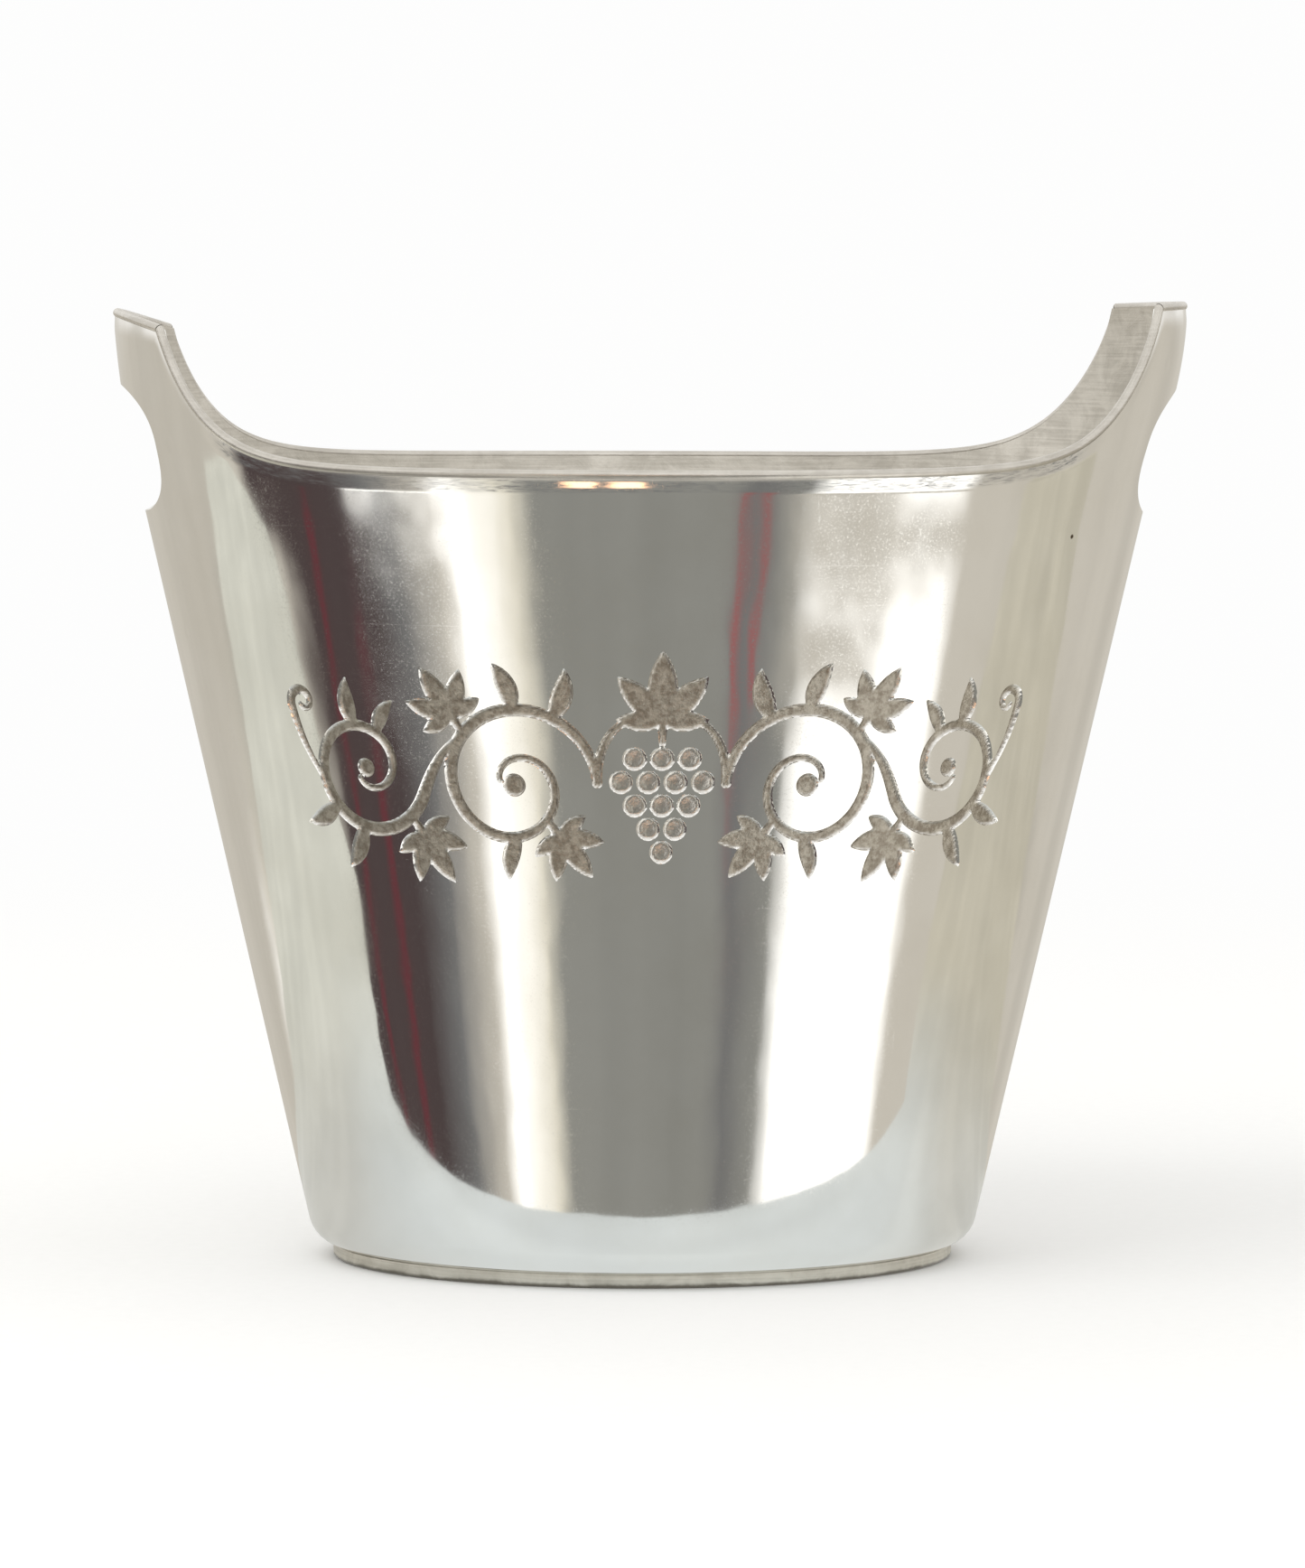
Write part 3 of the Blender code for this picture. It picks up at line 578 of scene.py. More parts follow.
def fine_block(mesh):
    """Engraved part of the front. Returns the vertex numbers and each one's side of the outline."""
    across, up = np.meshgrid(
        np.linspace(-FINE_REACH, FINE_REACH, FINE_COLUMNS + 1),
        np.linspace(FINE_BOTTOM - VINE_HEIGHT, FINE_TOP - VINE_HEIGHT, FINE_ROWS + 1),
    )
    row_step = (FINE_TOP - FINE_BOTTOM) / FINE_ROWS
    off, _ = vine_distance(across, up)
    up_slope, across_slope = np.gradient(off, row_step, FINE_STEP)
    steep = np.maximum(np.hypot(up_slope, across_slope), LEAST_SLOPE)
    near = np.abs(off) < 0.5 * FINE_STEP * steep
    across = np.where(near, across - off * across_slope / steep ** 2, across)
    up = np.where(near, up - off * up_slope / steep ** 2, up)
    off, grape = vine_distance(across, up)
    side = np.where(near, 0, np.sign(off)).astype(int)
    off = np.where(near, 0.0, off)
    share = np.clip(-off / GROOVE_BEVEL, 0, 1)
    depth = GROOVE_DEPTH * share * share * (3 - 2 * share)
    dome = np.clip(1 - grape ** 2, 0, 1)
    depth *= 1 - GRAPE_DOME * dome
    matte = np.clip((-off - MATTE_START) / MATTE_FADE, 0, 1) * (1 - GRAPE_SHINE * (grape < 1))
    angle = front_angle(across)
    height = VINE_HEIGHT + up
    numbers = mesh.add(wall_point(angle, height, depth), wall_normal(angle, height), matte)
    return numbers, side


def fine_faces(mesh, numbers, side):
    """Faces of the engraved part, split where the outline crosses one from corner to corner."""
    corners = np.stack([numbers[:-1, :-1], numbers[:-1, 1:], numbers[1:, 1:], numbers[1:, :-1]], -1)
    sides = np.stack([side[:-1, :-1], side[:-1, 1:], side[1:, 1:], side[1:, :-1]], -1)
    for ring, states in zip(corners.reshape(-1, 4), sides.reshape(-1, 4)):
        low, high = states.min(), states.max()
        if low < 0 < high:
            turn = int(states.argmin())
            a, b, c, d = np.roll(ring, -turn)
            mesh.face((a, b, d), GROOVE)
            mesh.face((b, c, d), SMOOTH_OUT)
        else:
            mesh.face(ring, GROOVE if low < 0 else SMOOTH_OUT)


def trimmed(corners, states):
    """The corners of a face that stay when the slot is cut out of it."""
    if states.max() <= 0:
        return []
    kept = [corner for corner, state in zip(corners, states) if state >= 0]
    return kept if len(kept) >= 3 else []


def outer_faces(mesh, numbers, state, fine, first_row):
    """Faces of the outer side round the engraved part."""
    rows, columns = numbers.shape
    last_row = first_row + PLAIN_ROWS
    last_column = FINE_COLUMNS // COLUMN_GROUP
    for row in range(rows - 1):
        in_rows = first_row <= row < last_row
        low_row = (row - first_row) * ROW_GROUP
        for column in range(columns):
            in_columns = column < last_column
            if in_rows and in_columns:
                continue
            spots = cell(row, column, columns)
            closing = spots[1][1] == 0
            low = column * COLUMN_GROUP
            ring = [numbers[spot] for spot in spots]
            if in_rows and column == last_column:
                edge = fine[low_row:low_row + ROW_GROUP + 1, -1]
                ring = [edge[0], ring[1], ring[2]] + list(edge[:0:-1])
            elif in_rows and closing:
                ring = [ring[0]] + list(fine[low_row:low_row + ROW_GROUP + 1, 0]) + [ring[3]]
            elif row == first_row - 1 and in_columns:
                ring = ring[:2] + list(fine[0, low:low + COLUMN_GROUP + 1][::-1])
            elif row == last_row and in_columns:
                ring = list(fine[-1, low:low + COLUMN_GROUP + 1]) + ring[2:]
            elif row == first_row - 1 and column == last_column:
                ring[3] = fine[0, -1]
            elif row == last_row and column == last_column:
                ring[0] = fine[-1, -1]
            elif row == first_row - 1 and closing:
                ring[2] = fine[0, 0]
            elif row == last_row and closing:
                ring[1] = fine[-1, 0]
            states = np.array([state[spot] for spot in spots])
            if states.min() < 1:
                ring = trimmed(ring, states)
            if ring:
                mesh.face(ring, SMOOTH_OUT)


def make_wall():
    """Wall with its engraved front, its slots and its two faces, as one fine mesh."""
    mesh = WallMesh()
    angles, ears = plan_columns()
    outer, state, straight = plain_side(mesh, angles, ears, 0.0, True)
    inner, _, _ = plain_side(mesh, angles, ears, WALL_THICKNESS, False)
    fine, side = fine_block(mesh)
    fine_faces(mesh, fine, side)
    first_row = straight - 1 - UPPER_ROWS - PLAIN_ROWS
    outer_faces(mesh, outer, state, fine, first_row)
    rows, columns = outer.shape
    used = {}
    for row in range(rows - 1):
        for column in range(columns):
            spots = cell(row, column, columns)
            states = np.array([state[spot] for spot in spots])
            kept = spots if states.min() == 1 else trimmed(spots, states)
            if not kept:
                continue
            mesh.face([inner[spot] for spot in kept[::-1]], SMOOTH_IN)
            if states.min() < 1:
                for start, end in zip(kept, kept[1:] + kept[:1]):
                    used[(start, end)] = True
    for start, end in used:
        if (end, start) not in used and state[start] == 0 and state[end] == 0:
            mesh.face((outer[end], outer[start], inner[start], inner[end]), EDGE)
    for column in range(columns):
        after = (column + 1) % columns
        mesh.face((outer[-1, column], outer[-1, after], inner[-1, after], inner[-1, column]), EDGE)
        mesh.face((outer[0, after], outer[0, column], inner[0, column], inner[0, after]), EDGE)
    return finish_wall(mesh)


def finish_wall(mesh):
    """Blender object of the wall, with smooth normals on each side and creases between them."""
    points = np.concatenate(mesh.points)
    smooth = np.concatenate(mesh.normals)
    used = np.zeros(len(points), bool)
    for ring in mesh.faces:
        used[ring] = True
    renumber = np.cumsum(used) - 1
    faces = [[int(renumber[corner]) for corner in ring] for ring in mesh.faces]
    points, smooth = points[used], smooth[used]
    matte = np.concatenate(mesh.grooves)[used]
    data = bpy.data.meshes.new("bucket_wall_fine")
    data.from_pydata(points.tolist(), [], faces)
    groups = np.array(mesh.groups)
    sizes = np.array([len(ring) for ring in faces])
    corners = np.concatenate([np.array(ring) for ring in faces])
    corner_groups = np.repeat(groups, sizes)
    flat = np.zeros(len(faces) * 3)
    data.polygons.foreach_get("normal", flat)
    area = np.zeros(len(faces))
    data.polygons.foreach_get("area", area)
    corner_flat = np.repeat(flat.reshape(-1, 3) * area[:, None], sizes, axis=0)
    normals = smooth[corners]
    for group in (GROOVE, EDGE):
        chosen = corner_groups == group
        total = np.zeros((len(points), 3))
        np.add.at(total, corners[chosen], corner_flat[chosen])
        normals[chosen] = unit(total[corners[chosen]] + TINY)
    data.polygons.foreach_set("material_index", np.where(groups == SMOOTH_IN, 1, 0).astype(np.int32))
    attribute = data.attributes.new("groove", "FLOAT", "POINT")
    attribute.data.foreach_set("value", matte.astype(np.float32))
    data.polygons.foreach_set("use_smooth", np.ones(len(faces), bool))
    data.normals_split_custom_set(normals.tolist())
    data.update()
    return bpy.data.objects.new("bucket_wall_fine", data)


# ---- rim wires -------------------------------------------------------------------------------------
def wire_centre(angle):
    return wall_point(angle, edge_height(angle, WIRE_RADIUS), WALL_THICKNESS / 2)


def mitre_plane(corner, into):
    """Point and normal of the plane half a joint gap from an ear's corner."""
    here = wire_centre(corner)
    inwards = unit(wire_centre(corner + into * MITRE_STEP) - here)
    backwards = unit(wire_centre(corner - into * MITRE_STEP) - here)
    normal = unit(inwards - backwards)
    return here + normal * JOINT_GAP / 2, normal


def make_wire(name, start, end):
    """Round wire swept along the rim between two ear corners and mitred at both ends."""
    angles = np.linspace(start, end, math.ceil((end - start) / WIRE_STEP) + 1)
    path = wire_centre(angles)
    along = unit(np.concatenate([path[1:2] - path[:1], path[2:] - path[:-2], path[-1:] - path[-2:-1]]))
    outward = path * np.array([1.0, 1.0 / PLAN_ASPECT ** 2, 0.0])
    outward = unit(outward - along * (outward * along).sum(1, keepdims=True))
    upward = np.cross(along, outward)
    turned = 2 * math.pi * np.arange(WIRE_SIDES) / WIRE_SIDES
    spots = path[:, None] + WIRE_RADIUS * (
        outward[:, None] * np.cos(turned)[:, None] + upward[:, None] * np.sin(turned)[:, None]
    )
    for place, corner, into in ((0, start, 1), (-1, end, -1)):
        origin, normal = mitre_plane(corner, into)
        slide = ((origin - spots[place]) @ normal) / (along[place] @ normal)
        spots[place] += slide[:, None] * along[place]
    last = len(angles) - 1
    faces = []
    for step in range(last):
        faces += band(step * WIRE_SIDES, (step + 1) * WIRE_SIDES, WIRE_SIDES)
    faces.append(tuple(range(WIRE_SIDES - 1, -1, -1)))
    faces.append(tuple(last * WIRE_SIDES + side for side in range(WIRE_SIDES)))
    return solid(name, spots.reshape(-1, 3), faces, WIRE_CREASE)


def band(low, high, count):
    """Faces between two closed rings of vertices that start at the numbers low and high."""
    places = [(place, (place + 1) % count) for place in range(count)]
    return [(low + place, low + after, high + after, high + place) for place, after in places]


def solid(name, points, faces, crease):
    """Object from vertices and faces, shaded smooth up to an angle."""
    data = bpy.data.meshes.new(name)
    data.from_pydata(np.asarray(points).tolist(), [], faces)
    data.validate()
    data.shade_smooth()
    data.set_sharp_from_angle(angle=math.radians(crease))
    return bpy.data.objects.new(name, data)


def swept_oval(name, profile):
    """Closed profile of half-width, half-depth and height, swept round the oval."""
    turned = 2 * math.pi * np.arange(OVAL_POINTS) / OVAL_POINTS
    rings = [
        np.stack([width * np.cos(turned), depth * np.sin(turned), np.full(OVAL_POINTS, height)], 1)
        for width, depth, height in profile
    ]
    faces = []
    for ring in range(len(profile)):
        faces += band(ring * OVAL_POINTS, (ring + 1) % len(profile) * OVAL_POINTS, OVAL_POINTS)
    return solid(name, np.concatenate(rings), faces, OVAL_CREASE)


def rounded(centre, radius, start, end, steps):
    """Points of an arc in a profile, angles in degrees."""
    return [polar(centre, radius, start + (end - start) * step / steps) for step in range(steps + 1)]


def make_foot():
    loss = FOOT_HALF_WIDTH - FOOT_HALF_DEPTH
    inner = FOOT_HALF_WIDTH - FOOT_RING_WIDTH
    bottom = (FOOT_HALF_WIDTH - FOOT_BOTTOM_ROUND, FOOT_BOTTOM_ROUND)
    height = FOOT_HEIGHT + JOINT_GAP
    top = (FOOT_HALF_WIDTH - FOOT_TOP_ROUND, height - FOOT_TOP_ROUND)
    profile = [(inner, 0.0)] + rounded(bottom, FOOT_BOTTOM_ROUND, -90, 0, 6)
    profile += rounded(top, FOOT_TOP_ROUND, 0, 90, 5) + [(inner, height)]
    return swept_oval("foot_ring_fine", [(width, width - loss, level) for width, level in profile])


def make_floor_plate():
    """Plate let in on the wall's lip, with a softly rounded edge."""
    centre_height, centre_width = corner_centre()
    bottom = FOOT_HEIGHT + 2 * JOINT_GAP + WALL_THICKNESS
    reach = math.sqrt((CORNER_RADIUS - WALL_THICKNESS) ** 2 - (centre_height - bottom) ** 2)
    width = centre_width + reach - FLOOR_EDGE_CLEARANCE
    loss = BASE_HALF_WIDTH * (1 - PLAN_ASPECT)
    top = bottom + FLOOR_THICKNESS
    edge = FLOOR_EDGE_ROUND
    middle, least_depth = FLOOR_MIDDLE
    profile = [(middle, bottom), (width - edge, bottom), (width, bottom + edge)]
    profile += rounded((width - edge, top - edge), edge, 0, 90, 4)
    profile += [(width * share, top) for share in FLOOR_RINGS] + [(middle, top)]
    oval = [(across, max(across - loss * across / width, least_depth), level) for across, level in profile]
    return swept_oval("floor_plate_fine", oval)


# ---- shader nodes ----------------------------------------------------------------------------------
class Graph:
    """Adds shader nodes to one tree and links them."""

    def __init__(self, tree):
        self.tree = tree
        tree.nodes.clear()

    def feed(self, socket, value):
        if isinstance(value, bpy.types.NodeSocket):
            self.tree.links.new(value, socket)
        else:
            socket.default_value = value

    def add(self, kind, inputs=None, **settings):
        node = self.tree.nodes.new(kind)
        for name, value in settings.items():
            setattr(node, name, value)
        for name, value in (inputs or {}).items():
            self.feed(node.inputs[name], value)
        return node

    def math(self, operation, *values, clamp=False):
        node = self.add("ShaderNodeMath", dict(enumerate(values)), operation=operation, use_clamp=clamp)
        return node.outputs[0]

    def range(self, value, low, high, to_low=0.0, to_high=1.0, smooth=True):
        """Maps low..high to to_low..to_high, held at the ends."""
        kind = "SMOOTHSTEP" if smooth else "LINEAR"
        inputs = {"Value": value, "From Min": low, "From Max": high, "To Min": to_low, "To Max": to_high}
        return self.add("ShaderNodeMapRange", inputs, interpolation_type=kind).outputs["Result"]

    def noise(self, place, scale, detail=2.0, roughness=0.5, distortion=0.0):
        inputs = {"Vector": place, "Scale": scale, "Detail": detail, "Roughness": roughness}
        inputs["Distortion"] = distortion
        return self.add("ShaderNodeTexNoise", inputs).outputs["Fac"]

    def stretched(self, place, scale, turn=(0.0, 0.0, 0.0)):
        inputs = {"Vector": place, "Scale": scale, "Rotation": turn}
        return self.add("ShaderNodeMapping", inputs).outputs["Vector"]

    def blend(self, factor, first, second):
        node = self.add("ShaderNodeMix", data_type="RGBA")
        for socket, value in ((0, factor), (6, first), (7, second)):
            self.feed(node.inputs[socket], value)
        return node.outputs[2]

    def ramp(self, factor, stops):
        node = self.add("ShaderNodeValToRGB", {"Fac": factor})
        elements = node.color_ramp.elements
        while len(elements) > 1:
            elements.remove(elements[-1])
        for place, (position, colour) in enumerate(stops):
            element = elements[0] if place == 0 else elements.new(position)
            element.position = position
            element.color = colour
        return node.outputs["Color"]

    def bump(self, height, distance, normal=None):
        inputs = {"Height": height, "Distance": distance, "Strength": 1.0}
        if normal is not None:
            inputs["Normal"] = normal
        return self.add("ShaderNodeBump", inputs).outputs["Normal"]


def material(name):
    made = bpy.data.materials.new(name)
    made.use_nodes = True
    graph = Graph(made.node_tree)
    place = graph.add("ShaderNodeTexCoord").outputs["Object"]
    return made, graph, place


def close_material(made, graph, shader):
    graph.add("ShaderNodeOutputMaterial", {"Surface": shader})
    return made


# ---- materials -------------------------------------------------------------------------------------
# Noise layers: scale, detail, roughness and distortion
WAVES = (13.0, 1.5, 0.45)
RIPPLES = (55.0, 2.0)
GRAIN = (1900.0, 3.0, 0.7)
GROOVE_GRAIN = (850.0, 3.0, 0.65)
PATCHES = (34.0, 4.0, 0.6)
SOOT = (420.0, 4.0, 0.7)
LEVEL_LINES = (1.0, 3.0, 0.7)
SLANT_LINES = (1.0, 2.0, 0.6)
BRUSHING = (1.0, 3.0, 0.65)
MOTTLE = (95.0, 5.0, 0.65, 0.6)
DULL_GRAIN = (1200.0, 3.0, 0.7)
DULL_PATCHES = (22.0, 2.0)
# Stretch, and where needed the turn, of the layers that run in one direction
RIPPLE_RUN = ((1.0, 1.0, 0.45),)
LEVEL_RUN = ((11.0, 11.0, 1500.0), (0.012, 0.02, 0.0))
SLANT_RUN = ((900.0, 60.0, 160.0), (0.3, 0.5, 0.9))
BRUSH_RUN = ((40.0, 40.0, 1500.0),)
# Heights of the bumps, in metres
WAVE_HEIGHT = 0.0008
RIPPLE_HEIGHT = 0.00013
DENT_HEIGHT = 0.00006
GROOVE_GRAIN_HEIGHT = 0.00028
BRUSH_HEIGHT = 0.00003
MOTTLE_HEIGHT = 0.0002
# Noise values between which a layer sets in
LEVEL_SPAN = (0.60, 0.80)
SLANT_SPAN = (0.68, 0.80)
GRAIN_SPAN = (0.5, 0.78)
PATCH_SPAN = (0.3, 0.75)
SOOT_SPAN = (0.35, 0.65)
SHADE_SPAN = (0.36, 0.64)
DULL_GRAIN_SPAN = (0.4, 0.7)
DENT_SCALE = 26.0
DENT_SPAN = (0.02, 0.075)
# Roughness, and what the layers add to it
POLISH = (0.35, 0.7, 0.045, 0.085)
GRAIN_ROUGHNESS = 0.13
SCRATCH_ROUGHNESS = 0.075
GROOVE_ROUGHNESS = 0.46
DULL_GRAIN_ROUGHNESS = 0.08
BRIGHT_SILVER = (0.87, 0.86, 0.835, 1)
SOFT_SILVER = (0.83, 0.815, 0.78, 1)
DARK_TARNISH = (0.30, 0.262, 0.212, 1)
PALE_TARNISH = (0.52, 0.48, 0.41, 1)
PIT_BROWN = (0.10, 0.075, 0.05, 1)
# colour of the painted shade along the foot's bottom edge
PAINTED_SHADE_BROWN = (0.14, 0.125, 0.10, 1)
DULL_METALLIC = 0.92
FOOT_SHADE_TOP = 0.0016               # the foot is painted darker below this height, as painted shade along its bottom edge
# Name, light and dark colour, roughness from and to, and the height below which painted shade darkens it
DULL_INSIDE = ("dull_inside", (0.62, 0.585, 0.52, 1), (0.46, 0.43, 0.375, 1), 0.34, 0.46)
WORN_WIRE = ("worn_wire", (0.64, 0.61, 0.555, 1), (0.53, 0.50, 0.45, 1), 0.28, 0.38)
# the foot carries painted shade along its bottom edge
SATIN_FOOT = ("satin_foot", (0.66, 0.625, 0.55, 1), (0.50, 0.465, 0.40, 1), 0.30, 0.42, FOOT_SHADE_TOP)
BRUSHED_FLOOR = ("brushed_floor", (0.62, 0.60, 0.55, 1), (0.48, 0.46, 0.42, 1), 0.38, 0.50)
# Casting pits in the polished face: where, and how large
PITS = (
    ((0.1116, -0.0641, 0.2025), 0.0009),
    ((-0.0885, -0.0285, 0.0180), 0.0006),
    ((-0.0830, -0.0378, 0.0130), 0.0005),
)
PIT_CORE = 0.45


def metal(made, graph, colour, metallic, rough, normal):
    shader = graph.add(
        "ShaderNodeBsdfPrincipled",
        {"Base Color": colour, "Metallic": metallic, "Roughness": rough, "Normal": normal},
    )
    return close_material(made, graph, shader.outputs[0])


def polished_silver():
    """Hand-polished outside: slight waves, fine scratches, small dents, dull tarnished grooves."""
    made, graph, place = material("polished_silver")
    groove = graph.add("ShaderNodeAttribute", attribute_name="groove").outputs["Fac"]
    normal = graph.bump(graph.noise(place, *WAVES), WAVE_HEIGHT)
    normal = graph.bump(graph.noise(graph.stretched(place, *RIPPLE_RUN), *RIPPLES), RIPPLE_HEIGHT, normal)
    dents = graph.add("ShaderNodeTexVoronoi", {"Vector": place, "Scale": DENT_SCALE})
    normal = graph.bump(graph.range(dents.outputs["Distance"], *DENT_SPAN), DENT_HEIGHT, normal)
    rough_floor = graph.math("MULTIPLY", graph.noise(place, *GROOVE_GRAIN), groove)
    normal = graph.bump(rough_floor, GROOVE_GRAIN_HEIGHT, normal)
    grain = graph.noise(place, *GRAIN)
    patches = graph.noise(place, *PATCHES)
    level_lines = graph.range(graph.noise(graph.stretched(place, *LEVEL_RUN), *LEVEL_LINES), *LEVEL_SPAN)
    slant_lines = graph.range(graph.noise(graph.stretched(place, *SLANT_RUN), *SLANT_LINES), *SLANT_SPAN)
    scratch = graph.math("MAXIMUM", level_lines, slant_lines)
    rough = graph.range(patches, *POLISH)
    rough = graph.math("ADD", rough, graph.math("MULTIPLY", graph.range(grain, *GRAIN_SPAN), GRAIN_ROUGHNESS))
    rough = graph.math("ADD", rough, graph.math("MULTIPLY", scratch, SCRATCH_ROUGHNESS))
    polished = graph.math("MULTIPLY", rough, graph.math("SUBTRACT", 1.0, groove))
    rough = graph.math("ADD", polished, graph.math("MULTIPLY", groove, GROOVE_ROUGHNESS))
    clean = graph.blend(graph.range(patches, *PATCH_SPAN), BRIGHT_SILVER, SOFT_SILVER)
    soot = graph.noise(place, *SOOT)
    tarnish = graph.blend(graph.range(soot, *SOOT_SPAN), DARK_TARNISH, PALE_TARNISH)
    colour = graph.blend(groove, clean, tarnish)
    for spot, size in PITS:
        gap = graph.add("ShaderNodeVectorMath", {0: place, 1: spot}, operation="DISTANCE").outputs["Value"]
        gap = graph.math("MULTIPLY_ADD", graph.math("SUBTRACT", soot, 0.5), size, gap)
        colour = graph.blend(graph.range(gap, size, PIT_CORE * size), colour, PIT_BROWN)
    return metal(made, graph, colour, 1.0, rough, normal)


def matte_inside(name, light, dark, rough_low, rough_high, shade_below=0.0):
    """Dull, finely brushed and mottled metal, with painted shade darker below a height where one is given."""
    made, graph, place = material(name)
    brushed = graph.noise(graph.stretched(place, *BRUSH_RUN), *BRUSHING)
    mottle = graph.noise(place, *MOTTLE)
    grain = graph.noise(place, *DULL_GRAIN)
    shade = graph.math("MULTIPLY_ADD", mottle, 0.6, graph.math("MULTIPLY", brushed, 0.4))
    colour = graph.blend(graph.range(shade, *SHADE_SPAN), dark, light)
    # painted shade: darker towards the bottom, below the given height
    if shade_below:
        height = graph.add("ShaderNodeSeparateXYZ", {0: place}).outputs["Z"]
        height = graph.math("MULTIPLY_ADD", graph.math("SUBTRACT", mottle, 0.5), shade_below, height)
        colour = graph.blend(graph.range(height, shade_below, 0.3 * shade_below), colour, PAINTED_SHADE_BROWN)
    rough = graph.range(graph.noise(place, *DULL_PATCHES), 0.3, 0.7, rough_low, rough_high)
    dulled = graph.math("MULTIPLY", graph.range(grain, *DULL_GRAIN_SPAN), DULL_GRAIN_ROUGHNESS)
    normal = graph.bump(graph.math("ADD", brushed, grain), BRUSH_HEIGHT)
    normal = graph.bump(mottle, MOTTLE_HEIGHT, normal)
    return metal(made, graph, colour, DULL_METALLIC, graph.math("ADD", rough, dulled), normal)


# ---- surroundings ----------------------------------------------------------------------------------
WINDOW_GLARE = 1.35             # windows are brighter than the picture can show
# Outline of the pale sheet under the bucket: its front edge from left to right, and its back edge back again
PAPER_FRONT = (
    (-0.95, 0.10), (-0.83, 0.01), (-0.72, -0.078), (-0.62, -0.103), (-0.45, -0.108), (-0.33, -0.114),
    (-0.225, -0.088), (-0.18, -0.080), (-0.145, -0.085), (-0.11, -0.095), (-0.075, -0.104), (-0.03, -0.112),
    (0.015, -0.115), (0.045, -0.113), (0.08, -0.106), (0.115, -0.097), (0.15, -0.087), (0.18, -0.081),
    (0.21, -0.088), (0.25, -0.10), (0.32, -0.115), (0.5, -0.13), (0.95, -0.14),
)
PAPER_BACK = (
    (0.95, 0.22), (0.5, 0.17), (0.3, 0.135), (0.21, 0.112), (0.15, 0.118), (0.08, 0.14),
    (0.0, 0.148), (-0.08, 0.143), (-0.16, 0.122), (-0.22, 0.115), (-0.32, 0.14), (-0.5, 0.18),
    (-0.95, 0.24),
)
SILVER = 0.84                   # share of the light that the polished metal sends back
LIGHT_SCALE = 1.9               # brightest value that the surroundings reach
TABLE_REACH = 30
PAPER_HEIGHT = 0.0002
PLAIN_WHITE = (1.0, 1.0, 0.998, 1)
PLAIN_STRENGTH = 0.985
UPPER_TONES = ((0.46, 0.455, 0.44, 1), (0.70, 0.70, 0.70, 1))
TABLE_TONES = ((0.90, 0.90, 0.895, 1), (0.915, 0.915, 0.91, 1))
SWAYS = ((7.0, 5.0), (24.0, 2.6))   # noise scale, and degrees by which edges in the room waver
LEVEL_BEND = 0.44               # levels in the room bend with the bearing, as the wall mirrors them
LEVEL_DROP = 23.1               # degrees from the horizon down to level 0, straight ahead


def seen(red, green, blue, gain=1.0):
    """Brightness of the surroundings that gives this 8-bit tone when it is seen in the silver."""
    tones = [t / 255 for t in (red, green, blue)]
    light = [t / 12.92 if t <= 0.04045 else ((t + 0.055) / 1.055) ** 2.4 for t in tones]
    return tuple(gain * t / SILVER / LIGHT_SCALE for t in light) + (1.0,)


# A studio of the builder's own layout: a few plain tones, at round bearings
WINDOW = (254, 253, 250)
CREAM = (225, 220, 205)
PALE = (190, 185, 175)
GREY = (135, 135, 130)
DIM = (110, 110, 110)
DARK = (75, 65, 65)
RUST = (145, 95, 95)
WINE = (100, 55, 60)
LAMP = (255, 200, 160)
PAPER_COOL = (210, 215, 215)
PAPER_SHADED = (195, 195, 190)
PAPER_LEFT = (205, 205, 195)
PAPER_RIGHT = (190, 185, 170)
# Bearing in degrees from the front, positive towards +X, and the tone of what stands there
FRONT = (
    (-105, PALE), (-85, PALE), (-80, DARK), (-60, DARK), (-50, DIM), (-40, PALE), (-35, WINDOW), (-25, CREAM),
    (-20, GREY), (15, GREY), (20, DIM), (30, GREY), (35, WINDOW), (65, WINDOW), (70, PALE), (105, PALE),
)
LEAN = 0.13                     # how far the things on the left spread outward as they rise
LEAN_LEVELS = (-2.5, 0.5)
# Bearing from straight behind, for the back of the bucket
BEHIND = (
    (-80, PALE), (-65, PALE), (-60, GREY), (-50, DARK), (-45, DIM), (-35, CREAM), (-30, WINDOW),
    (-20, CREAM), (-10, GREY), (20, GREY), (25, DIM), (30, DIM), (35, CREAM), (50, WINDOW), (55, CREAM),
    (65, GREY), (80, PALE),
)
# Small things in the room: bearings, bottom, top, softness, tone and gain
ROOM_SPOTS = (
    (-65, -40, 0, 2, 2, WINDOW, 1.3),
    (30, 50, -1, 2, 6, PALE, 1.0),
    (30, 75, 0, 2, 3, PALE, 1.0),
    (18, 20, -2, 4, 0.6, RUST, 1.0),
    (22, 24, -1, 4, 0.7, RUST, 1.0),
    (-77, -75, -9, 0, 0.6, WINE, 1.0),
    (-67, -65, -9, -2, 0.7, WINE, 1.0),
    (-16, -10, 10, 18, 1.5, LAMP, 2.6),
    (-7, -1, 10, 18, 1.5, LAMP, 2.6),
)


def bearing_ramp(graph, bearing, stops):
    """Colour band over bearings in degrees."""
    low, high = stops[0][0], stops[-1][0]
    share = graph.range(bearing, low, high, smooth=False)
    return graph.ramp(share, [
        ((place - low) / (high - low), seen(*tone, gain=WINDOW_GLARE if tone == WINDOW else 1.0))
        for place, tone in stops
    ])


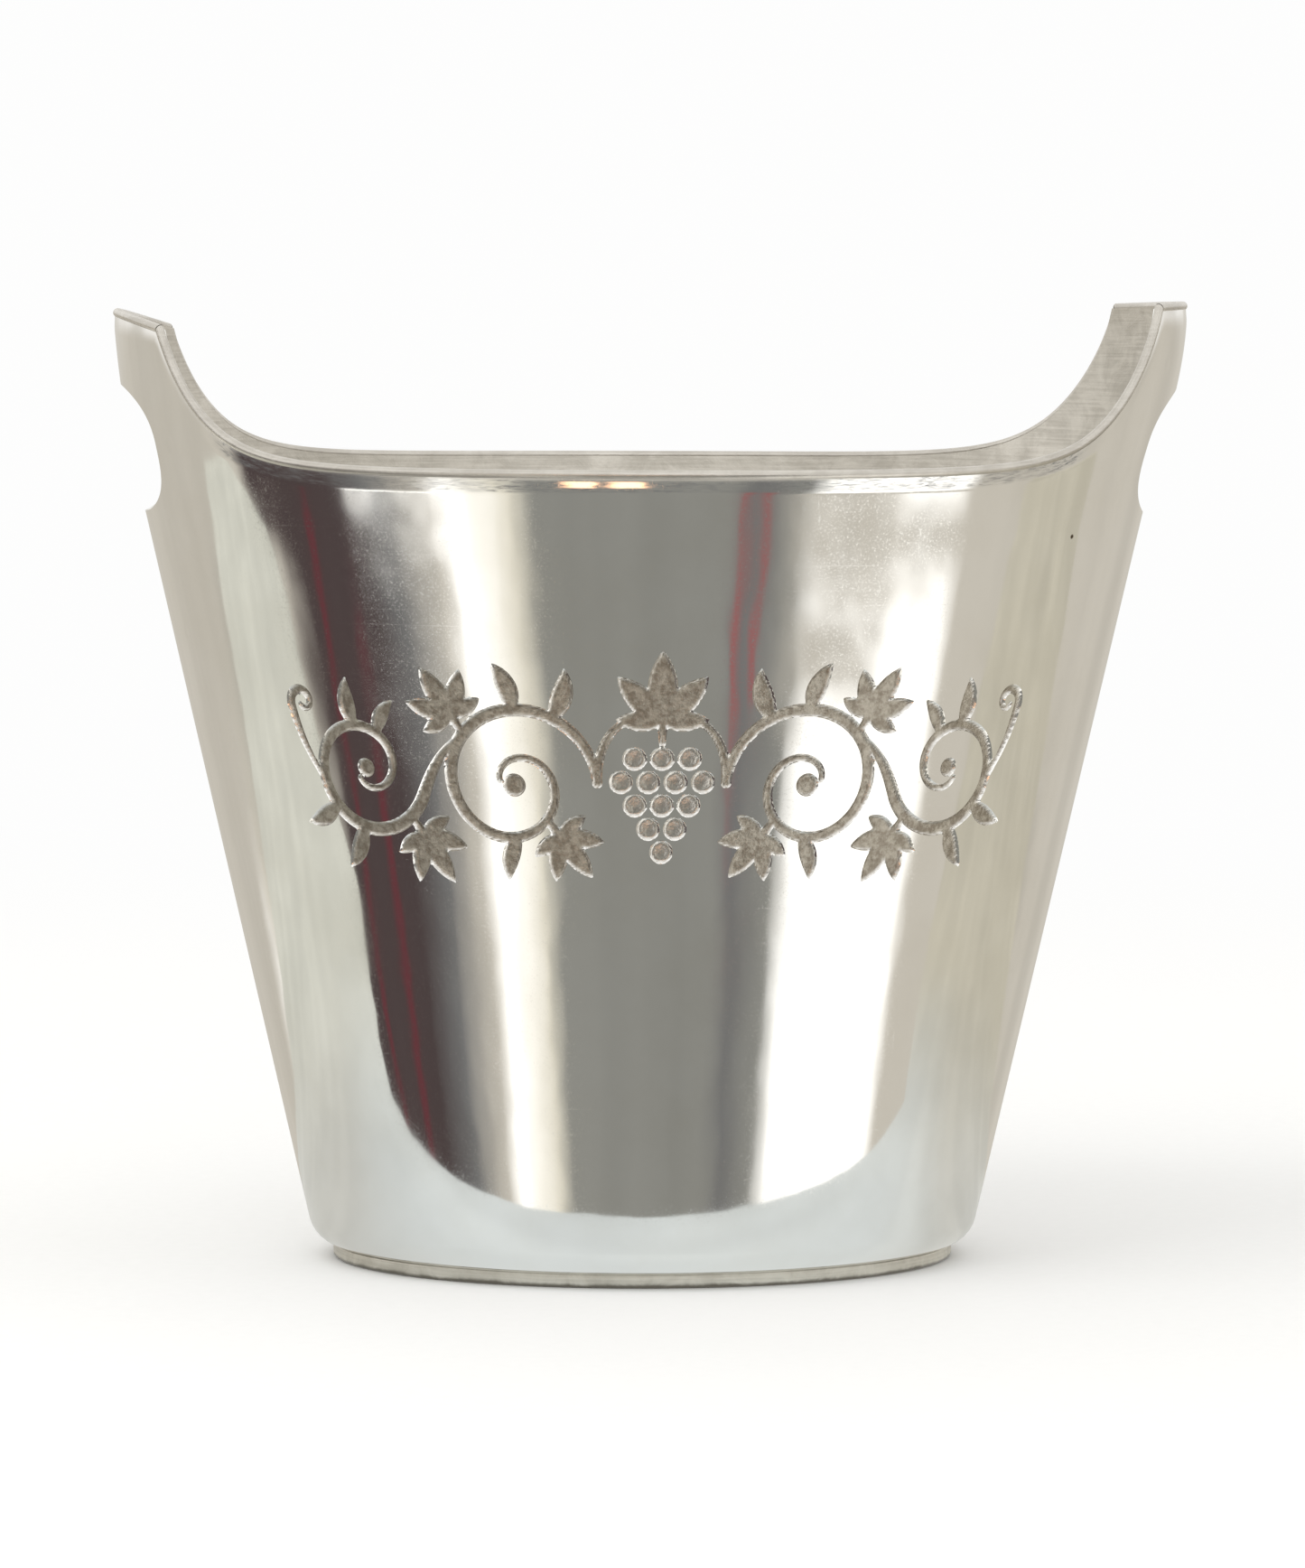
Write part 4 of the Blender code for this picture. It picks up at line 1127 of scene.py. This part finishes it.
def make_world():
    """Soft pale studio overhead and, low down, the room in front of the table that the silver mirrors."""
    world = bpy.data.worlds.new("studio")
    bpy.context.scene.world = world
    world.use_nodes = True
    graph = Graph(world.node_tree)
    way = graph.add("ShaderNodeTexCoord").outputs["Generated"]
    parts = graph.add("ShaderNodeSeparateXYZ", {0: way}).outputs
    frontward = graph.math("MULTIPLY", parts["Y"], -1.0)
    bearing = graph.math("DEGREES", graph.math("ARCTAN2", parts["X"], frontward))
    for scale, swing in SWAYS:
        sway = graph.math("SUBTRACT", graph.noise(way, scale, 2.0), 0.5)
        bearing = graph.math("MULTIPLY_ADD", sway, swing, bearing)
    height = graph.math("DEGREES", graph.math("ARCSINE", parts["Z"]))
    fall = graph.math("COSINE", graph.math("RADIANS", graph.math("MULTIPLY", bearing, LEVEL_BEND)))
    level = graph.math("MULTIPLY_ADD", fall, LEVEL_DROP, height)
    leftward = graph.math("LESS_THAN", bearing, 0.0)
    spread = graph.math("MULTIPLY", graph.math("MULTIPLY", graph.range(level, *LEAN_LEVELS), leftward), -LEAN)
    front = bearing_ramp(graph, graph.math("MULTIPLY_ADD", bearing, spread, bearing), FRONT)
    murk = graph.noise(graph.stretched(way, (1.0, 1.0, 2.5)), 30.0, 3.0, 0.65)
    murky = graph.math("MULTIPLY", graph.range(murk, 0.5, 0.6), graph.range(level, 2.5, 6.0))
    front = graph.blend(murky, front, seen(*DIM))
    for start, end, bottom, top, soft, tone, gain in ROOM_SPOTS:
        inside = graph.math(
            "MULTIPLY",
            graph.range(bearing, start - soft, start + soft),
            graph.range(bearing, end + soft, end - soft),
        )
        inside = graph.math("MULTIPLY", inside, graph.range(level, bottom - 0.6, bottom + 0.6))
        inside = graph.math("MULTIPLY", inside, graph.range(level, top + 0.6, top - 0.6))
        front = graph.blend(inside, front, seen(*tone, gain=gain))
    turned = graph.math("SUBTRACT", bearing, graph.math("MULTIPLY", graph.math("SIGN", bearing), 180.0))
    back = bearing_ramp(graph, turned, BEHIND)
    back = graph.blend(graph.range(height, -15.0, -18.5), seen(*PALE), back)
    lower = graph.blend(graph.range(graph.math("ABSOLUTE", bearing), 98.0, 104.0), front, back)
    lower = graph.blend(graph.range(level, 17.0, 23.0), lower, seen(*PALE))
    streaks = graph.range(graph.noise(graph.stretched(way, (1.0, 1.0, 0.3)), 4.5, 2.0), 0.3, 0.7, 0.94, 1.05)
    lower = graph.add("ShaderNodeVectorMath", {0: lower, 1: streaks}, operation="MULTIPLY").outputs[0]
    boxes = graph.noise(way, 2.6, 1.0)
    upper = graph.blend(graph.range(boxes, 0.42, 0.62), *UPPER_TONES)
    around = graph.blend(graph.range(height, -4.0, 10.0), lower, upper)
    lit = graph.add("ShaderNodeBackground", {"Color": around, "Strength": LIGHT_SCALE})
    plain = graph.add("ShaderNodeBackground", {"Color": PLAIN_WHITE, "Strength": PLAIN_STRENGTH})
    direct = graph.add("ShaderNodeLightPath").outputs["Is Camera Ray"]
    mixed = graph.add("ShaderNodeMixShader", {0: direct, 1: lit.outputs[0], 2: plain.outputs[0]})
    graph.add("ShaderNodeOutputWorld", {"Surface": mixed.outputs[0]})


def flat_sheet(name, outline, height):
    data = bpy.data.meshes.new(name)
    data.from_pydata([(x, y, height) for x, y in outline], [], [tuple(range(len(outline)))])
    made = bpy.data.objects.new(name, data)
    bpy.context.scene.collection.objects.link(made)
    return made


def make_table():
    """Pale table that fades into the plain backdrop far away."""
    reach = TABLE_REACH
    table = flat_sheet("table", ((-reach, -reach), (reach, -reach), (reach, reach), (-reach, reach)), 0.0)
    table.visible_glossy = False
    made, graph, place = material("pale_table")
    distance = graph.add("ShaderNodeVectorMath", {0: place}, operation="LENGTH").outputs["Value"]
    grain = graph.noise(place, 260.0, 3.0)
    soft = graph.noise(place, 1.7, 2.0)
    tone = graph.blend(graph.range(graph.math("ADD", grain, soft), 0.7, 1.3), *TABLE_TONES)
    near = graph.add("ShaderNodeBsdfDiffuse", {"Color": tone, "Normal": graph.bump(grain, 0.00002)})
    far = graph.add("ShaderNodeEmission", {"Color": PLAIN_WHITE, "Strength": PLAIN_STRENGTH})
    shader = graph.add(
        "ShaderNodeMixShader", {0: graph.range(distance, 0.35, 1.5), 1: near.outputs[0], 2: far.outputs[0]}
    )
    table.data.materials.append(close_material(made, graph, shader.outputs[0]))


def make_paper():
    """Pale sheet under the bucket whose front edge shows in the silver as the long curved line."""
    paper = flat_sheet("paper_card", PAPER_FRONT + PAPER_BACK, PAPER_HEIGHT)
    for ray in ("camera", "diffuse", "transmission", "shadow", "volume_scatter"):
        setattr(paper, "visible_" + ray, False)
    made, graph, place = material("paper_glow")
    parts = graph.add("ShaderNodeSeparateXYZ", {0: place}).outputs
    distance = graph.add("ShaderNodeVectorMath", {0: place}, operation="LENGTH").outputs["Value"]
    side = graph.blend(graph.range(parts["X"], -0.15, 0.2), seen(*PAPER_LEFT), seen(*PAPER_RIGHT))
    under = graph.blend(graph.range(parts["Y"], -0.075, -0.01), seen(*PAPER_COOL), seen(*PAPER_SHADED))
    colour = graph.blend(graph.range(distance, 0.10, 0.34), under, side)
    cloud = graph.range(graph.noise(place, 9.0, 3.0), 0.3, 0.7, 0.93, 1.06)
    streak = graph.noise(graph.stretched(place, (2.0, 40.0, 1.0)), 1.0, 1.0)
    streak = graph.range(streak, 0.4, 0.7, 0.96, 1.03)
    power = graph.math("MULTIPLY", graph.math("MULTIPLY", cloud, streak), LIGHT_SCALE)
    glow = graph.add("ShaderNodeEmission", {"Color": colour, "Strength": power})
    paper.data.materials.append(close_material(made, graph, glow.outputs[0]))


def make_light(name, place, target, size, power, colour):
    data = bpy.data.lights.new(name, "AREA")
    data.shape = "RECTANGLE"
    data.size, data.size_y = size
    data.energy = power
    data.color = colour
    lamp = bpy.data.objects.new(name, data)
    lamp.location = place
    lamp.rotation_euler = (Vector(target) - Vector(place)).to_track_quat("-Z", "Y").to_euler()
    lamp.visible_glossy = False
    bpy.context.scene.collection.objects.link(lamp)


# ---- camera ----------------------------------------------------------------------------------------
CAMERA_PLACE = (-0.0867, -1.815, 0.2645)
CAMERA_YAW = math.radians(2.81)
CAMERA_PITCH = math.radians(-4.19)
CAMERA_ROLL = math.radians(0.17)
CAMERA_LENS = 150.6


def make_camera():
    data = bpy.data.cameras.new("camera")
    data.lens = CAMERA_LENS
    data.sensor_width = 36.0
    data.dof.use_dof = False
    camera = bpy.data.objects.new("camera", data)
    ahead = Vector((
        math.sin(CAMERA_YAW) * math.cos(CAMERA_PITCH),
        math.cos(CAMERA_YAW) * math.cos(CAMERA_PITCH),
        math.sin(CAMERA_PITCH),
    ))
    level = Vector((math.cos(CAMERA_YAW), -math.sin(CAMERA_YAW), 0.0))
    upright = level.cross(ahead)
    right = level * math.cos(CAMERA_ROLL) + upright * math.sin(CAMERA_ROLL)
    top = upright * math.cos(CAMERA_ROLL) - level * math.sin(CAMERA_ROLL)
    turn = Matrix((right, top, -ahead)).transposed()
    camera.matrix_world = Matrix.Translation(CAMERA_PLACE) @ turn.to_4x4()
    bpy.context.scene.collection.objects.link(camera)
    bpy.context.scene.camera = camera


# ---- assembly --------------------------------------------------------------------------------------
def place_piece(piece, node, slot, *materials):
    bpy.context.scene.collection.objects.link(piece)
    for made in materials:
        piece.data.materials.append(made)
    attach(piece, "root")
    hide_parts(node)


def main():
    silver = polished_silver()
    looks = (DULL_INSIDE, WORN_WIRE, SATIN_FOOT, BRUSHED_FLOOR)
    inside, wire, foot, plate = (matte_inside(*look) for look in looks)
    place_piece(make_wall(), "bucket_wall", "polished_wall", silver, inside)
    right, left = corner_angle(WIRE_RADIUS, 0.0), corner_angle(WIRE_RADIUS, math.pi)
    half = math.pi
    runs = (
        ("rim_wire_back", right, half - left),
        ("ear_wire_left", half - left, half + left),
        ("rim_wire_front", half + left, 2 * half - right),
        ("ear_wire_right", -right, right),
    )
    for node, start, end in runs:
        place_piece(make_wire(node + "_fine", start, end), node, "rim_wire", wire)
    place_piece(make_foot(), "foot_ring", "foot", foot)
    place_piece(make_floor_plate(), "floor_plate", "matte_floor", plate)
    make_table()
    make_paper()
    make_world()
    make_light("softbox", (-0.9, -0.7, 1.5), (0, 0, 0.05), (1.2, 1.2), 6.0, (1.0, 0.99, 0.97))
    make_camera()
    bpy.context.scene.view_settings.view_transform = "Standard"


main()
